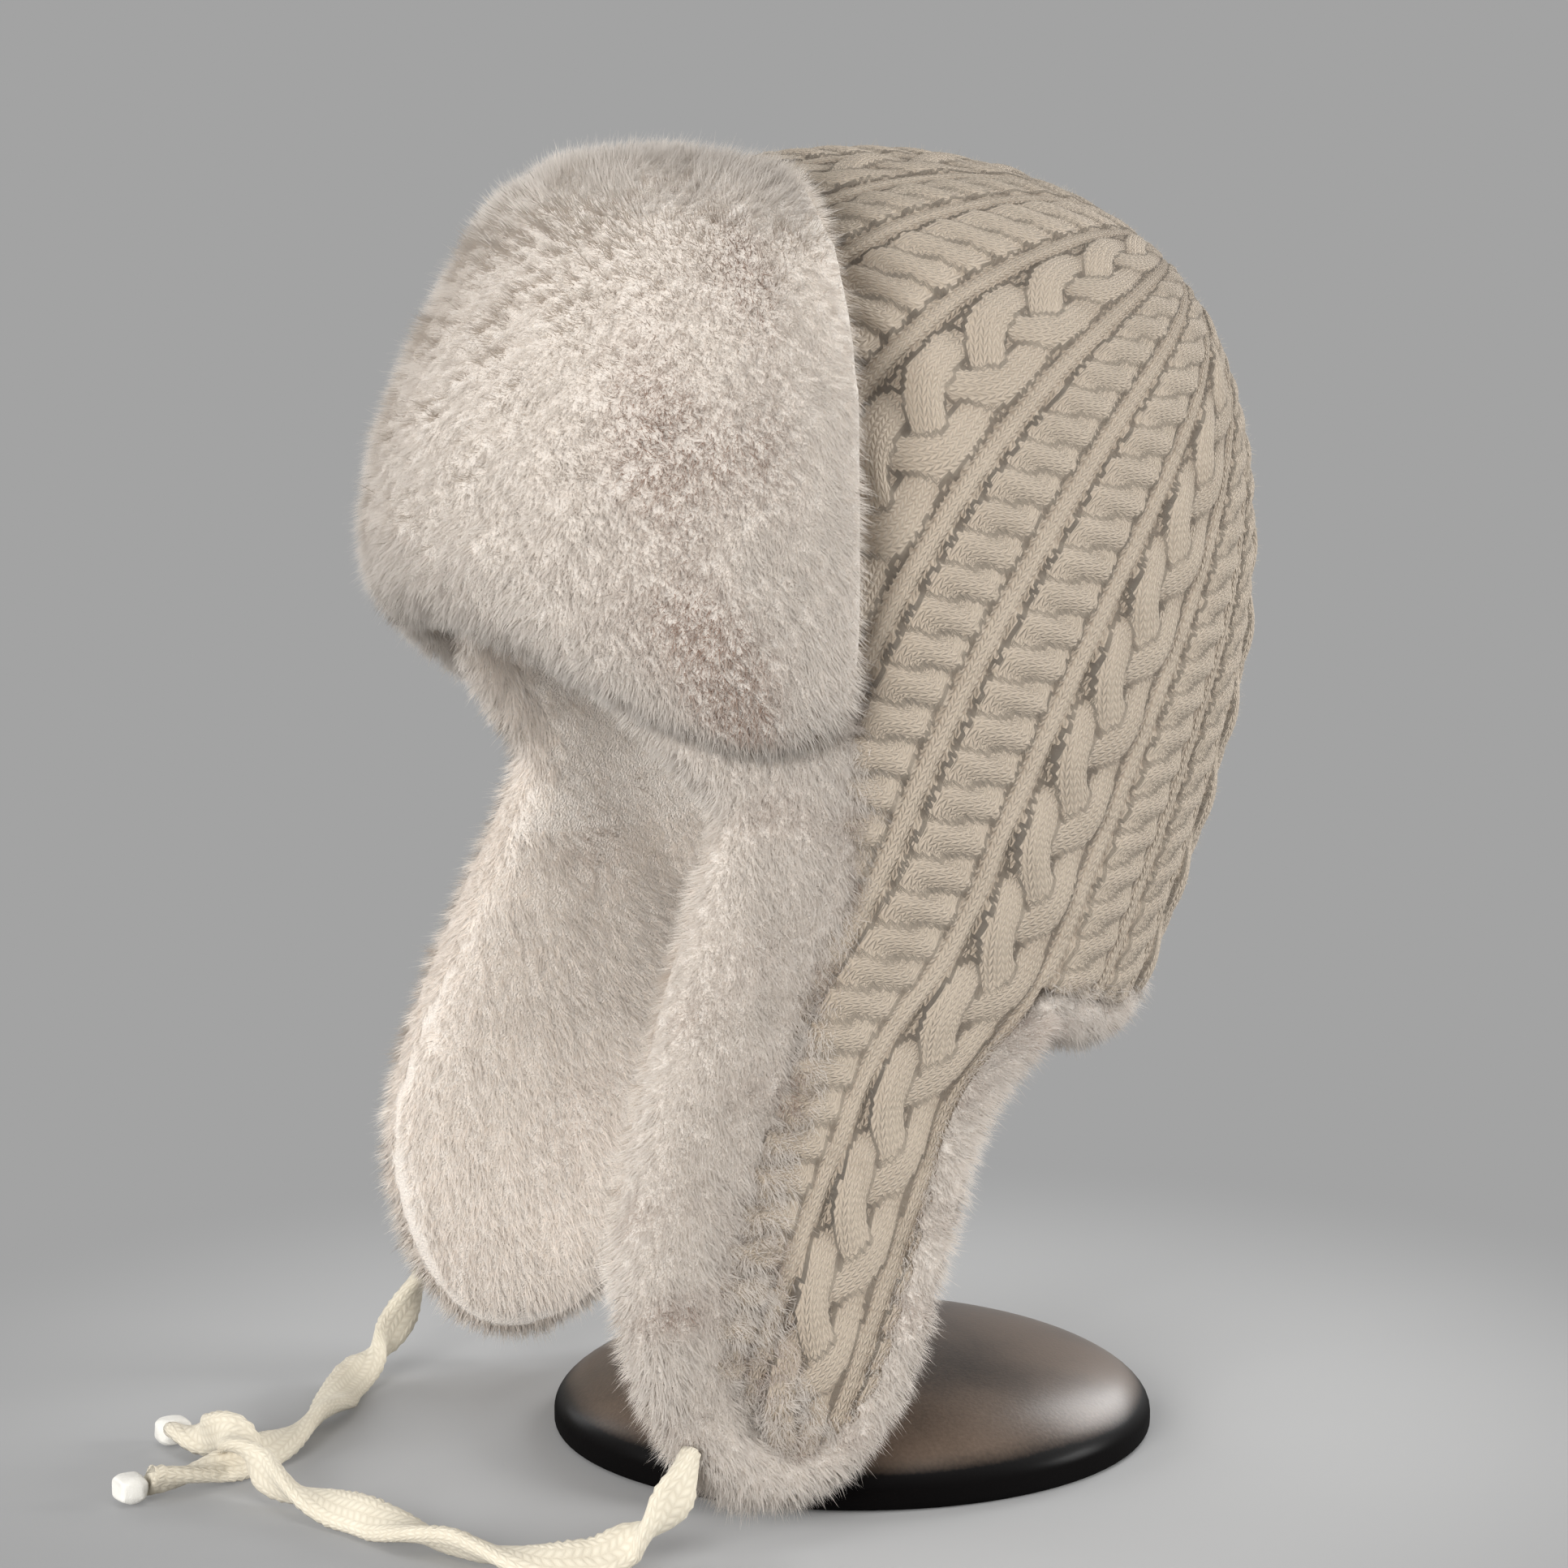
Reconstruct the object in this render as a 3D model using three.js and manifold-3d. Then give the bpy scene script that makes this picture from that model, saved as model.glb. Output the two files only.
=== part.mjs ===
// Knitted aviator hat on its display stand, in millimetres, +Z up.
// The origin is on the surface under the middle of the stand's base. The hat
// faces -Y, and +X is the wearer's left.
//
// The hat's form is one surface, the ground of the knit. It is a stack of
// rings. Each ring leans: it spans from a point of the front profile to a
// point of the back profile. A place on it is (angle, row), where the angle
// runs from 0 at the front to PI at the back and is negative on the wearer's
// right, and the row runs from 0 at the gathered apex down over the crown and
// on into the ear flaps. Every layer is an offset of this surface.

import * as THREE from 'three';
import { mergeVertices } from 'three/addons/utils/BufferGeometryUtils.js';
import Module from 'manifold-3d';

const wasm = await Module();
wasm.setup();

const DEG = Math.PI / 180;

// Sizes of the hat
const CROWN_LENGTH = 236;
const CROWN_WIDTH = 184;
const CROWN_HEIGHT = 243;
const FLAP_LENGTH = 124;
const FLAP_REACH = 89;
const TIP_CLEARANCE = 10;

// Layers, measured along the surface's normal
const KNIT_WALL = 3.5;
const WALE_RELIEF = 3.5;
const LINING_PILE = 7;
const LAYER_GAP = 0.8;
const SEAT_GAP = 0.4;

// Wales: raised columns of the knit that gather at the apex
const WALE_COLUMNS = 20;
const WALE_LEAN = 22 * DEG;

// Fur edging of the flaps and of the nape
const TRIM_HEIGHT = 8;
const TRIM_WRAP = 9;
const TRIM_SEAT_GAP = 1;
const RIM_STRAIGHT_SHARE = 0.34;
const NAPE_ROLL_HEIGHT = 16;
const NAPE_ROLL_DEPTH = 15;

// Fur brim, turned up in front
const BRIM_REACH = 148;
const BRIM_REAR = 44;
const BRIM_WIDTH = 210;
const BRIM_HEIGHT = 166;
const BRIM_DROP = 10.8;
const BRIM_CLEARANCE = 1;

// Ties
const TIE_DIAMETER = 9;
const TIE_SIDES = 8;
const TIE_EXIT_ANGLE = 52 * DEG;
const TIE_EXIT_SHARE = 0.6;
const KNOT_LENGTH = 13;
const KNOT_DIAMETER = 12;

// Stand
const BASE_DIAMETER = 180;
const BASE_HEIGHT = 28;
const BASE_EDGE = 5;
const BASE_SEAT_DIAMETER = 30;
const POST_DIAMETER = 16;
const CAP_DIAMETER = 112;
const CAP_HEIGHT = 34;

// Heights that follow from the sizes
const HEM_HEIGHT = TIP_CLEARANCE + FLAP_LENGTH;
const BRIM_HEM = HEM_HEIGHT + CROWN_HEIGHT / 2 - BRIM_DROP;

// Rings of the crown. y is a share of CROWN_LENGTH, z of CROWN_HEIGHT above
// the nape hem, half of half the CROWN_WIDTH. dip lowers the sides of the
// ring, as a share of CROWN_HEIGHT.
const CROWN_ROWS = [
  { frontY: 0.394, frontZ: 0.877, backY: 0.394, backZ: 0.877, half: 0.0, dip: 0.0 },
  { frontY: 0.305, frontZ: 0.938, backY: 0.436, backZ: 0.815, half: 0.304, dip: 0.0 },
  { frontY: 0.169, frontZ: 0.988, backY: 0.475, backZ: 0.728, half: 0.565, dip: 0.008 },
  { frontY: 0.008, frontZ: 1.004, backY: 0.5, backZ: 0.63, half: 0.761, dip: 0.025 },
  { frontY: -0.161, frontZ: 0.984, backY: 0.508, backZ: 0.514, half: 0.891, dip: 0.049 },
  { frontY: -0.305, frontZ: 0.909, backY: 0.5, backZ: 0.399, half: 0.967, dip: 0.074 },
  { frontY: -0.407, frontZ: 0.794, backY: 0.466, backZ: 0.272, half: 1.0, dip: 0.099 },
  { frontY: -0.466, frontZ: 0.663, backY: 0.415, backZ: 0.136, half: 1.0, dip: 0.123 },
  { frontY: -0.492, frontZ: 0.531, backY: 0.347, backZ: 0.0, half: 0.978, dip: 0.148 },
];

// Rows of the flaps. middle is a share of CROWN_LENGTH and reach of half the
// FLAP_REACH. frontZ and rearZ are shares of FLAP_LENGTH above the nape hem.
// flat takes the roundness out of the panel, from 0 to 1.
const FLAP_ROWS = [
  { middle: -0.182, reach: 0.99, frontZ: 0.363, rearZ: -0.17, half: 0.99, dip: 0.14, flat: 0.2 },
  { middle: -0.238, reach: 1.01, frontZ: 0.08, rearZ: -0.395, half: 1.025, dip: 0.12, flat: 0.45 },
  { middle: -0.286, reach: 1.02, frontZ: -0.202, rearZ: -0.613, half: 1.055, dip: 0.09, flat: 0.68 },
  { middle: -0.319, reach: 0.99, frontZ: -0.468, rearZ: -0.815, half: 1.07, dip: 0.06, flat: 0.78 },
  { middle: -0.343, reach: 0.93, frontZ: -0.718, rearZ: -1.008, half: 1.06, dip: 0.04, flat: 0.8 },
  { middle: -0.366, reach: 0.87, frontZ: -0.976, rearZ: -1.202, half: 1.05, dip: 0.02, flat: 0.8 },
];

// Outlines of the layers that make up a flap: front and rear angle, the row
// where the round end starts and the row of its tip.
const OUTLINE = { front: 55 * DEG, rear: 117 * DEG, endRow: 11.5, tipRow: 13.45 };
const LINING_PANEL = { front: 58 * DEG, rear: 113 * DEG, endRow: 11.45, tipRow: 13.3 };
const KNIT_PANEL = { front: 75 * DEG, rear: 110 * DEG, endRow: 11.4, tipRow: 12.85 };

const HEM_ROW = CROWN_ROWS.length - 1;
const CROWN_STEPS = [0.35, 0.8, 1.3, 1.9, 2.5, 3.1, 3.7, 4.3, 4.9, 5.5, 6.1, 6.7, 7.3, HEM_ROW];
const PANEL_STEPS = [0.1, 0.22, 0.35, 0.5, 0.66, 0.83, 1, 1.25, 1.5, 1.75, 2];

// Columns of the mesh from the front to the back, on one side
const ANGLE_SPANS = [
  { to: LINING_PANEL.front, cells: 8 },
  { to: KNIT_PANEL.front, cells: 4 },
  { to: KNIT_PANEL.rear, cells: 8 },
  { to: LINING_PANEL.rear, cells: 2 },
  { to: Math.PI, cells: 8 },
];

// Loops of the brim from its lower edge up and back over the crown. Lengths
// are shares: frontY of BRIM_REACH, sideY of BRIM_REAR, sideX of half the
// BRIM_WIDTH, heights of BRIM_HEIGHT above the brim's hem.
const BRIM_ROWS = [
  { frontY: -0.845, frontZ: 0.0, sideX: 0.9, sideY: -1.5, sideZ: -0.185 },
  { frontY: -0.905, frontZ: 0.012, sideX: 0.945, sideY: -1.2, sideZ: -0.165 },
  { frontY: -0.968, frontZ: 0.065, sideX: 0.985, sideY: -1.04, sideZ: -0.1 },
  { frontY: -1.0, frontZ: 0.16, sideX: 1.0, sideY: -1.0, sideZ: 0.02 },
  { frontY: -0.968, frontZ: 0.315, sideX: 1.0, sideY: -1.0, sideZ: 0.21 },
  { frontY: -0.885, frontZ: 0.475, sideX: 0.985, sideY: -1.0, sideZ: 0.375 },
  { frontY: -0.795, frontZ: 0.615, sideX: 0.93, sideY: -1.0, sideZ: 0.52 },
  { frontY: -0.705, frontZ: 0.73, sideX: 0.83, sideY: -1.0, sideZ: 0.64 },
  { frontY: -0.59, frontZ: 0.795, sideX: 0.7, sideY: -1.0, sideZ: 0.72 },
  { frontY: -0.44, frontZ: 0.81, sideX: 0.56, sideY: -1.0, sideZ: 0.765 },
  { frontY: -0.345, frontZ: 0.795, sideX: 0.46, sideY: -1.0, sideZ: 0.775 },
];
const BRIM_ARC_CELLS = 24;

// Free lengths of the ties as they lie. Each starts on its flap's edging.
const TIE_LEFT_ROUTE = [
  [107, -105, 19], [103, -114, 10], [102, -125, 5.4], [98, -136, 5], [84, -147, 5],
  [56, -162, 5], [31, -173, 5], [8, -183, 7.5], [-18, -188, 14], [-40, -190, 8], [-54, -193, 5.2],
];
const TIE_RIGHT_ROUTE = [
  [-106, -107, 18], [-100, -118, 9], [-88, -129, 5.2], [-64, -144, 5], [-43, -160, 5],
  [-27, -176, 5], [-18, -190, 5], [-14, -203, 5], [-12, -214, 5.2],
];

const clamp = THREE.MathUtils.clamp;
const lerp = THREE.MathUtils.lerp;

// The colour, roughness and metalness of each piece
function standardMaterial(color, roughness, metalness) {
  return new THREE.MeshStandardMaterial({ color, roughness, metalness });
}

// A crown row in millimetres
function crownRow(row) {
  return {
    frontY: row.frontY * CROWN_LENGTH,
    frontZ: HEM_HEIGHT + row.frontZ * CROWN_HEIGHT,
    backY: row.backY * CROWN_LENGTH,
    backZ: HEM_HEIGHT + row.backZ * CROWN_HEIGHT,
    half: (row.half * CROWN_WIDTH) / 2,
    dip: row.dip * CROWN_HEIGHT,
    flat: 0,
  };
}

// A flap row in millimetres, as the whole ring that the panel is a part of.
// The panel's two edges lie at the outline's angles.
function flapRow(row) {
  const cosFront = Math.cos(OUTLINE.front);
  const cosRear = Math.cos(OUTLINE.rear);
  const dip = row.dip * CROWN_HEIGHT;
  const frontY = row.middle * CROWN_LENGTH - (row.reach * FLAP_REACH) / 2;
  const rearY = row.middle * CROWN_LENGTH + (row.reach * FLAP_REACH) / 2;
  const frontZ = HEM_HEIGHT + row.frontZ * FLAP_LENGTH + dip * (1 - cosFront * cosFront);
  const rearZ = HEM_HEIGHT + row.rearZ * FLAP_LENGTH + dip * (1 - cosRear * cosRear);
  const spanY = (frontY - rearY) / (cosFront - cosRear);
  const spanZ = (frontZ - rearZ) / (cosFront - cosRear);
  const middleY = frontY - spanY * cosFront;
  const middleZ = frontZ - spanZ * cosFront;
  return {
    frontY: middleY + spanY,
    frontZ: middleZ + spanZ,
    backY: middleY - spanY,
    backZ: middleZ - spanZ,
    half: (row.half * CROWN_WIDTH) / 2,
    dip,
    flat: row.flat,
  };
}

const RINGS = [...CROWN_ROWS.map(crownRow), ...FLAP_ROWS.map(flapRow)];

// One value of the ring table at a row, on a Catmull-Rom curve
function ringValue(name, row) {
  const last = RINGS.length - 1;
  const i = clamp(Math.floor(row), 0, last - 1);
  const f = row - i;
  const p1 = RINGS[i][name];
  const p2 = RINGS[i + 1][name];
  const p0 = i > 0 ? RINGS[i - 1][name] : 2 * p1 - p2;
  const p3 = i + 2 <= last ? RINGS[i + 2][name] : 2 * p2 - p1;
  const cubic = -p0 + 3 * p1 - 3 * p2 + p3;
  const square = 2 * p0 - 5 * p1 + 4 * p2 - p3;
  return 0.5 * (2 * p1 + (p2 - p0) * f + square * f * f + cubic * f * f * f);
}

// The point of the knit's ground at an angle and row
function groundPoint(angle, row) {
  const c = Math.cos(angle);
  const s = Math.sin(angle);
  const frontY = ringValue('frontY', row);
  const frontZ = ringValue('frontZ', row);
  const backY = ringValue('backY', row);
  const backZ = ringValue('backZ', row);
  const flat = ringValue('flat', row);
  const x = ringValue('half', row) * (s + Math.sign(s) * flat * (1 - Math.abs(s)));
  const y = lerp(backY, frontY, (1 + c) / 2);
  const z = lerp(backZ, frontZ, (1 + c) / 2) - ringValue('dip', row) * s * s;
  return new THREE.Vector3(x, y, z);
}

// The outward normal of the ground at an angle and row
function groundNormal(angle, row) {
  const step = 0.01;
  const safeRow = Math.max(row, 0.15);
  const along = groundPoint(angle + step, safeRow).sub(groundPoint(angle - step, safeRow));
  const down = groundPoint(angle, safeRow + step).sub(groundPoint(angle, safeRow - step));
  return down.cross(along).normalize();
}

// The normal at the apex, where all angles meet
function apexNormal() {
  const sum = new THREE.Vector3();
  for (let i = 0; i < 8; i += 1) {
    sum.add(groundNormal((i * Math.PI) / 4, 0.3));
  }
  return sum.normalize();
}

// A point at a height over the ground
function offsetPoint(angle, row, height) {
  const normal = row > 0 ? groundNormal(angle, row) : apexNormal();
  return groundPoint(angle, row).addScaledVector(normal, height);
}

// The wale coordinate of a place: whole numbers lie on the raised columns
function waleAt(angle, row) {
  const lean = WALE_LEAN * ((row - 1) / (HEM_ROW - 1) - 0.5);
  let free = angle;
  for (let i = 0; i < 4; i += 1) {
    free = angle + lean * Math.sin(free);
  }
  return (free / (2 * Math.PI)) * WALE_COLUMNS;
}

// The height of the knit's raised columns, fading out at the apex
function waleHeight(angle, row) {
  const fade = clamp(row, 0, 1);
  return WALE_RELIEF * fade * (0.5 + 0.5 * Math.cos(2 * Math.PI * waleAt(angle, row)));
}

// Angles of the mesh's columns on the wearer's left, every step-th one
function sideAngles(step) {
  const angles = [0];
  let from = 0;
  for (const span of ANGLE_SPANS) {
    for (let i = 1; i <= span.cells; i += 1) {
      angles.push(lerp(from, span.to, i / span.cells));
    }
    from = span.to;
  }
  return angles.filter((angle, i) => i % step === 0);
}

// Angles of the columns all the way round, the wearer's left side first
function ringAngles(step) {
  const half = sideAngles(step);
  return half.concat(half.slice(1, -1).reverse().map((angle) => -angle));
}

// The crown's mesh rows, every step-th one up from the hem row
function crownSteps(step) {
  return CROWN_STEPS.filter((row, i) => (CROWN_STEPS.length - 1 - i) % step === 0);
}

// The place in a panel for across from -1 at the rear edge to 1 at the front
// edge, and down from 0 at the hem row to 1 where the round end starts and 2
// at its tip. The end maps a square onto half a disc.
function panelPlace(panel, across, down) {
  const end = clamp(down - 1, 0, 1);
  const share = across * Math.sqrt(1 - (end * end) / 2);
  const drop = end * Math.sqrt(1 - (across * across) / 2);
  const cosFront = Math.cos(panel.front);
  const cosRear = Math.cos(panel.rear);
  const cosine = lerp(cosRear, cosFront, (1 + share) / 2);
  const straight = lerp(HEM_ROW, panel.endRow, Math.min(down, 1));
  return { angle: Math.acos(cosine), row: straight + drop * (panel.tipRow - panel.endRow) };
}

// The places and faces of one layer: the crown, and below it a panel each side
function layerSheet(panel, step) {
  const columns = ringAngles(step);
  const rows = crownSteps(step);
  const places = [{ angle: 0, row: 0 }];
  const faces = [];
  const gridIndex = (j, i) => 1 + j * columns.length + (i % columns.length);
  for (const row of rows) {
    for (const angle of columns) {
      places.push({ angle, row });
    }
  }
  for (let i = 0; i < columns.length; i += 1) {
    faces.push([0, gridIndex(0, i), gridIndex(0, i + 1)]);
    for (let j = 1; j < rows.length; j += 1) {
      const a = gridIndex(j - 1, i);
      const b = gridIndex(j - 1, i + 1);
      const c = gridIndex(j, i + 1);
      const d = gridIndex(j, i);
      faces.push([a, d, c], [a, c, b]);
    }
  }
  for (const side of [1, -1]) {
    const slack = 1e-6;
    const inside = sideAngles(step).filter((a) => a > panel.front - slack && a < panel.rear + slack);
    const hem = inside.map((a) => gridIndex(rows.length - 1, columns.indexOf(side * a)));
    addPanel({ places, faces }, panel, side, inside, hem);
  }
  return { places, faces };
}

// Adds the panel of one side to a sheet, below the places of its hem
function addPanel(sheet, panel, side, angles, hem) {
  const cosFront = Math.cos(panel.front);
  const cosRear = Math.cos(panel.rear);
  let above = hem;
  for (const down of PANEL_STEPS) {
    const below = angles.map((angle) => {
      const across = (2 * (Math.cos(angle) - cosRear)) / (cosFront - cosRear) - 1;
      const place = panelPlace(panel, clamp(across, -1, 1), down);
      return sheet.places.push({ angle: side * place.angle, row: place.row }) - 1;
    });
    for (let i = 0; i + 1 < angles.length; i += 1) {
      const quad = [above[i], below[i], below[i + 1], above[i + 1]];
      const turned = side > 0 ? quad : quad.reverse();
      sheet.faces.push([turned[0], turned[1], turned[2]], [turned[0], turned[2], turned[3]]);
    }
    above = below;
  }
}

// A closed solid between two offsets of a sheet
function layerSolid(sheet, outerHeight, innerHeight) {
  const count = sheet.places.length;
  const points = [outerHeight, innerHeight].flatMap((height) =>
    sheet.places.map(({ angle, row }) => offsetPoint(angle, row, height(angle, row))),
  );
  const triangles = [];
  const open = new Map();
  for (const face of sheet.faces) {
    triangles.push(face, [face[0] + count, face[2] + count, face[1] + count]);
    for (let i = 0; i < 3; i += 1) {
      const from = face[i];
      const to = face[(i + 1) % 3];
      if (!open.delete(`${to},${from}`)) {
        open.set(`${from},${to}`, [from, to]);
      }
    }
  }
  for (const [from, to] of open.values()) {
    triangles.push([from, from + count, to + count], [from, to + count, to]);
  }
  return closedGeometry(points, triangles);
}

// An indexed geometry from points and triangles
function closedGeometry(points, triangles) {
  const geometry = new THREE.BufferGeometry();
  const numbers = points.flatMap((point) => point.toArray());
  geometry.setAttribute('position', new THREE.Float32BufferAttribute(numbers, 3));
  geometry.setIndex(triangles.flat());
  return geometry;
}

// A solid through closed loops of equally many points, with both ends capped.
// The loops run counterclockwise seen from the side that they advance to.
function loftedSolid(loops) {
  const size = loops[0].length;
  const points = loops.flat();
  const triangles = [];
  for (let j = 0; j + 1 < loops.length; j += 1) {
    for (let i = 0; i < size; i += 1) {
      const a = j * size + i;
      const b = j * size + ((i + 1) % size);
      triangles.push([a, b, b + size], [a, b + size, a + size]);
    }
  }
  for (const [loop, first] of [[0, true], [loops.length - 1, false]]) {
    for (const [a, b, c] of capTriangles(loops[loop])) {
      const base = loop * size;
      triangles.push(first ? [base + a, base + c, base + b] : [base + a, base + b, base + c]);
    }
  }
  return closedGeometry(points, triangles);
}

// Triangles that fill a loop, counterclockwise as the loop is
function capTriangles(loop) {
  const centre = new THREE.Vector3();
  const normal = new THREE.Vector3();
  loop.forEach((p) => centre.addScaledVector(p, 1 / loop.length));
  loop.forEach((p, i) => {
    const next = loop[(i + 1) % loop.length];
    normal.add(p.clone().sub(centre).cross(next.clone().sub(centre)));
  });
  normal.normalize();
  const right = loop[0].clone().sub(centre).normalize();
  const up = normal.clone().cross(right);
  const flat = loop.map((p) => {
    const arm = p.clone().sub(centre);
    return new THREE.Vector2(arm.dot(right), arm.dot(up));
  });
  return THREE.ShapeUtils.triangulateShape(flat, []);
}

// A geometry as a solid that can be joined and cut
function toSolid(geometry) {
  const bare = geometry.clone();
  bare.deleteAttribute('normal');
  bare.deleteAttribute('uv');
  const merged = mergeVertices(bare, 1e-4);
  const mesh = new wasm.Mesh({
    numProp: 3,
    vertProperties: new Float32Array(merged.attributes.position.array),
    triVerts: new Uint32Array(merged.index.array),
  });
  return new wasm.Manifold(mesh);
}

// A joined or cut solid as a geometry
function toGeometry(solid) {
  const mesh = solid.getMesh();
  const geometry = new THREE.BufferGeometry();
  geometry.setAttribute('position', new THREE.BufferAttribute(new Float32Array(mesh.vertProperties), 3));
  geometry.setIndex(new THREE.BufferAttribute(new Uint32Array(mesh.triVerts), 1));
  return geometry;
}

// The filled form under one offset of the crown, down to a lower row, as a
// cutting body
function filledCrown(height, lowerRow, step) {
  const columns = ringAngles(step);
  const rows = [...crownSteps(step), HEM_ROW + 0.5, lowerRow];
  const size = columns.length;
  const centre = new THREE.Vector3();
  const points = [offsetPoint(0, 0, height)];
  for (const row of rows) {
    points.push(...columns.map((angle) => offsetPoint(angle, row, height)));
  }
  points.slice(-size).forEach((p) => centre.addScaledVector(p, 1 / size));
  points.push(centre);
  const triangles = [];
  const lastRing = 1 + (rows.length - 1) * size;
  for (let i = 0; i < size; i += 1) {
    const next = (i + 1) % size;
    triangles.push([0, 1 + i, 1 + next], [lastRing + i, points.length - 1, lastRing + next]);
    for (let j = 1; j < rows.length; j += 1) {
      const a = 1 + (j - 1) * size + i;
      const b = 1 + (j - 1) * size + next;
      triangles.push([a, a + size, b + size], [a, b + size, b]);
    }
  }
  return closedGeometry(points, triangles);
}

// The knit: crown and flap panels in one, with its raised columns
function knitShell() {
  const sheet = layerSheet(KNIT_PANEL, 1);
  return layerSolid(sheet, waleHeight, () => -KNIT_WALL);
}

const LINING_FACE = -KNIT_WALL - LAYER_GAP;

// The fur lining: under the whole crown and on the inside of the flaps
function furLining() {
  const sheet = layerSheet(LINING_PANEL, 2);
  return layerSolid(sheet, () => LINING_FACE, () => LINING_FACE - LINING_PILE);
}

// The brim: a thick turned-up flap of fur, cut out to seat over the crown
function furBrim() {
  const loops = BRIM_ROWS.map((row) => {
    const loop = [];
    const frontZ = BRIM_HEM + row.frontZ * BRIM_HEIGHT;
    const sideZ = BRIM_HEM + row.sideZ * BRIM_HEIGHT;
    for (let i = 0; i <= BRIM_ARC_CELLS; i += 1) {
      const turn = lerp(-Math.PI / 2, Math.PI / 2, i / BRIM_ARC_CELLS);
      const across = Math.sin(turn);
      const x = (across * row.sideX * BRIM_WIDTH) / 2;
      const y = lerp(row.sideY * BRIM_REAR, row.frontY * BRIM_REACH, Math.cos(turn));
      loop.push(new THREE.Vector3(x, y, lerp(frontZ, sideZ, across * across)));
    }
    return loop;
  });
  const seat = filledCrown(WALE_RELIEF + BRIM_CLEARANCE, HEM_ROW + 1.5, 1);
  return toGeometry(toSolid(loftedSolid(loops)).subtract(toSolid(seat)));
}

// The rim of a panel: travel runs from 0 at the front edge's top, round the
// end, to 1 at the rear edge's top
function rimPlace(panel, travel, topRow) {
  const straightShare = RIM_STRAIGHT_SHARE;
  const turn = clamp((travel - straightShare) / (1 - 2 * straightShare), 0, 1) * Math.PI;
  const edge = Math.max(1 - travel / straightShare, 1 - (1 - travel) / straightShare, 0);
  const cosFront = Math.cos(panel.front);
  const cosRear = Math.cos(panel.rear);
  return {
    cosine: lerp(cosRear, cosFront, (1 + Math.cos(turn)) / 2),
    row: lerp(panel.endRow, topRow, edge) + Math.sin(turn) * (panel.tipRow - panel.endRow),
  };
}

// A point between two rims at a height over the ground
function rimPoint(side, near, far, share, height) {
  const cosine = lerp(near.cosine, far.cosine, share);
  return offsetPoint(side * Math.acos(cosine), lerp(near.row, far.row, share), height);
}

// The fur edging of a flap: a soft roll on the lining's face between the
// knit's edge and the flap's outline, turned in round the lining's edge
function flapTrim(side) {
  const stations = 30;
  const topRow = HEM_ROW + 0.2;
  const gapShare = 0.09;
  const floor = LINING_FACE + TRIM_SEAT_GAP;
  const loops = [];
  for (let i = 0; i <= stations; i += 1) {
    const travel = i / stations;
    const knit = rimPlace(KNIT_PANEL, travel, topRow);
    const lining = rimPlace(LINING_PANEL, travel, topRow);
    const outline = rimPlace(OUTLINE, travel, topRow);
    const section = [
      rimPoint(side, knit, outline, gapShare, floor),
      rimPoint(side, lining, outline, gapShare * 4, floor),
      rimPoint(side, lining, outline, gapShare * 4, floor - TRIM_WRAP),
      rimPoint(side, knit, outline, 0.96, floor - TRIM_WRAP),
      rimPoint(side, knit, outline, 1, floor),
      rimPoint(side, knit, outline, 0.93, TRIM_HEIGHT * 0.6),
      rimPoint(side, knit, outline, 0.7, TRIM_HEIGHT),
      rimPoint(side, knit, outline, 0.35, TRIM_HEIGHT * 0.95),
      rimPoint(side, knit, outline, gapShare, TRIM_HEIGHT * 0.55),
    ];
    loops.push(side > 0 ? section.reverse() : section);
  }
  return loftedSolid(loops);
}

// The fur roll under the knit's hem at the nape
function napeTrim() {
  const stations = 18;
  const sides = 8;
  const start = OUTLINE.rear + 3 * DEG;
  const rowsPerMm = 1 / (ringValue('backZ', HEM_ROW - 1) - ringValue('backZ', HEM_ROW));
  const loops = [];
  for (let i = 0; i <= stations; i += 1) {
    const angle = lerp(start, 2 * Math.PI - start, i / stations);
    const loop = [];
    for (let k = 0; k < sides; k += 1) {
      const turn = ((k + 0.5) * 2 * Math.PI) / sides;
      const drop = (NAPE_ROLL_HEIGHT / 2) * (1 - Math.cos(turn)) + SEAT_GAP;
      const height = (NAPE_ROLL_DEPTH / 2) * Math.sin(turn) - NAPE_ROLL_DEPTH / 2 + WALE_RELIEF;
      loop.push(offsetPoint(angle, HEM_ROW + drop * rowsPerMm, height));
    }
    loops.push(loop);
  }
  return loftedSolid(loops);
}

// The middle line of a tie, from its seat on the flap's edging along its free
// length
function tieCurve(side, route) {
  const straightShare = RIM_STRAIGHT_SHARE;
  const travel = straightShare + (TIE_EXIT_ANGLE / Math.PI) * (1 - 2 * straightShare);
  const knit = rimPlace(KNIT_PANEL, travel, HEM_ROW);
  const outline = rimPlace(OUTLINE, travel, HEM_ROW);
  const height = TRIM_HEIGHT + TIE_DIAMETER / 2 + 2 * SEAT_GAP;
  const start = rimPoint(side, knit, outline, TIE_EXIT_SHARE, height);
  const points = [start, ...route.map((p) => new THREE.Vector3(...p))];
  return new THREE.CatmullRomCurve3(points, false, 'centripetal');
}

// A tie: a plain cord along its middle line
function tie(curve) {
  const section = new THREE.Shape();
  for (let i = 0; i < TIE_SIDES; i += 1) {
    const turn = ((i + 0.5) * 2 * Math.PI) / TIE_SIDES;
    const x = (TIE_DIAMETER / 2) * Math.cos(turn);
    const y = (TIE_DIAMETER / 2) * Math.sin(turn);
    const draw = i === 0 ? 'moveTo' : 'lineTo';
    section[draw](x, y);
  }
  const steps = Math.round(curve.getLength() / (TIE_DIAMETER * 0.8));
  return new THREE.ExtrudeGeometry(section, { steps, bevelEnabled: false, extrudePath: curve });
}

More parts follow.
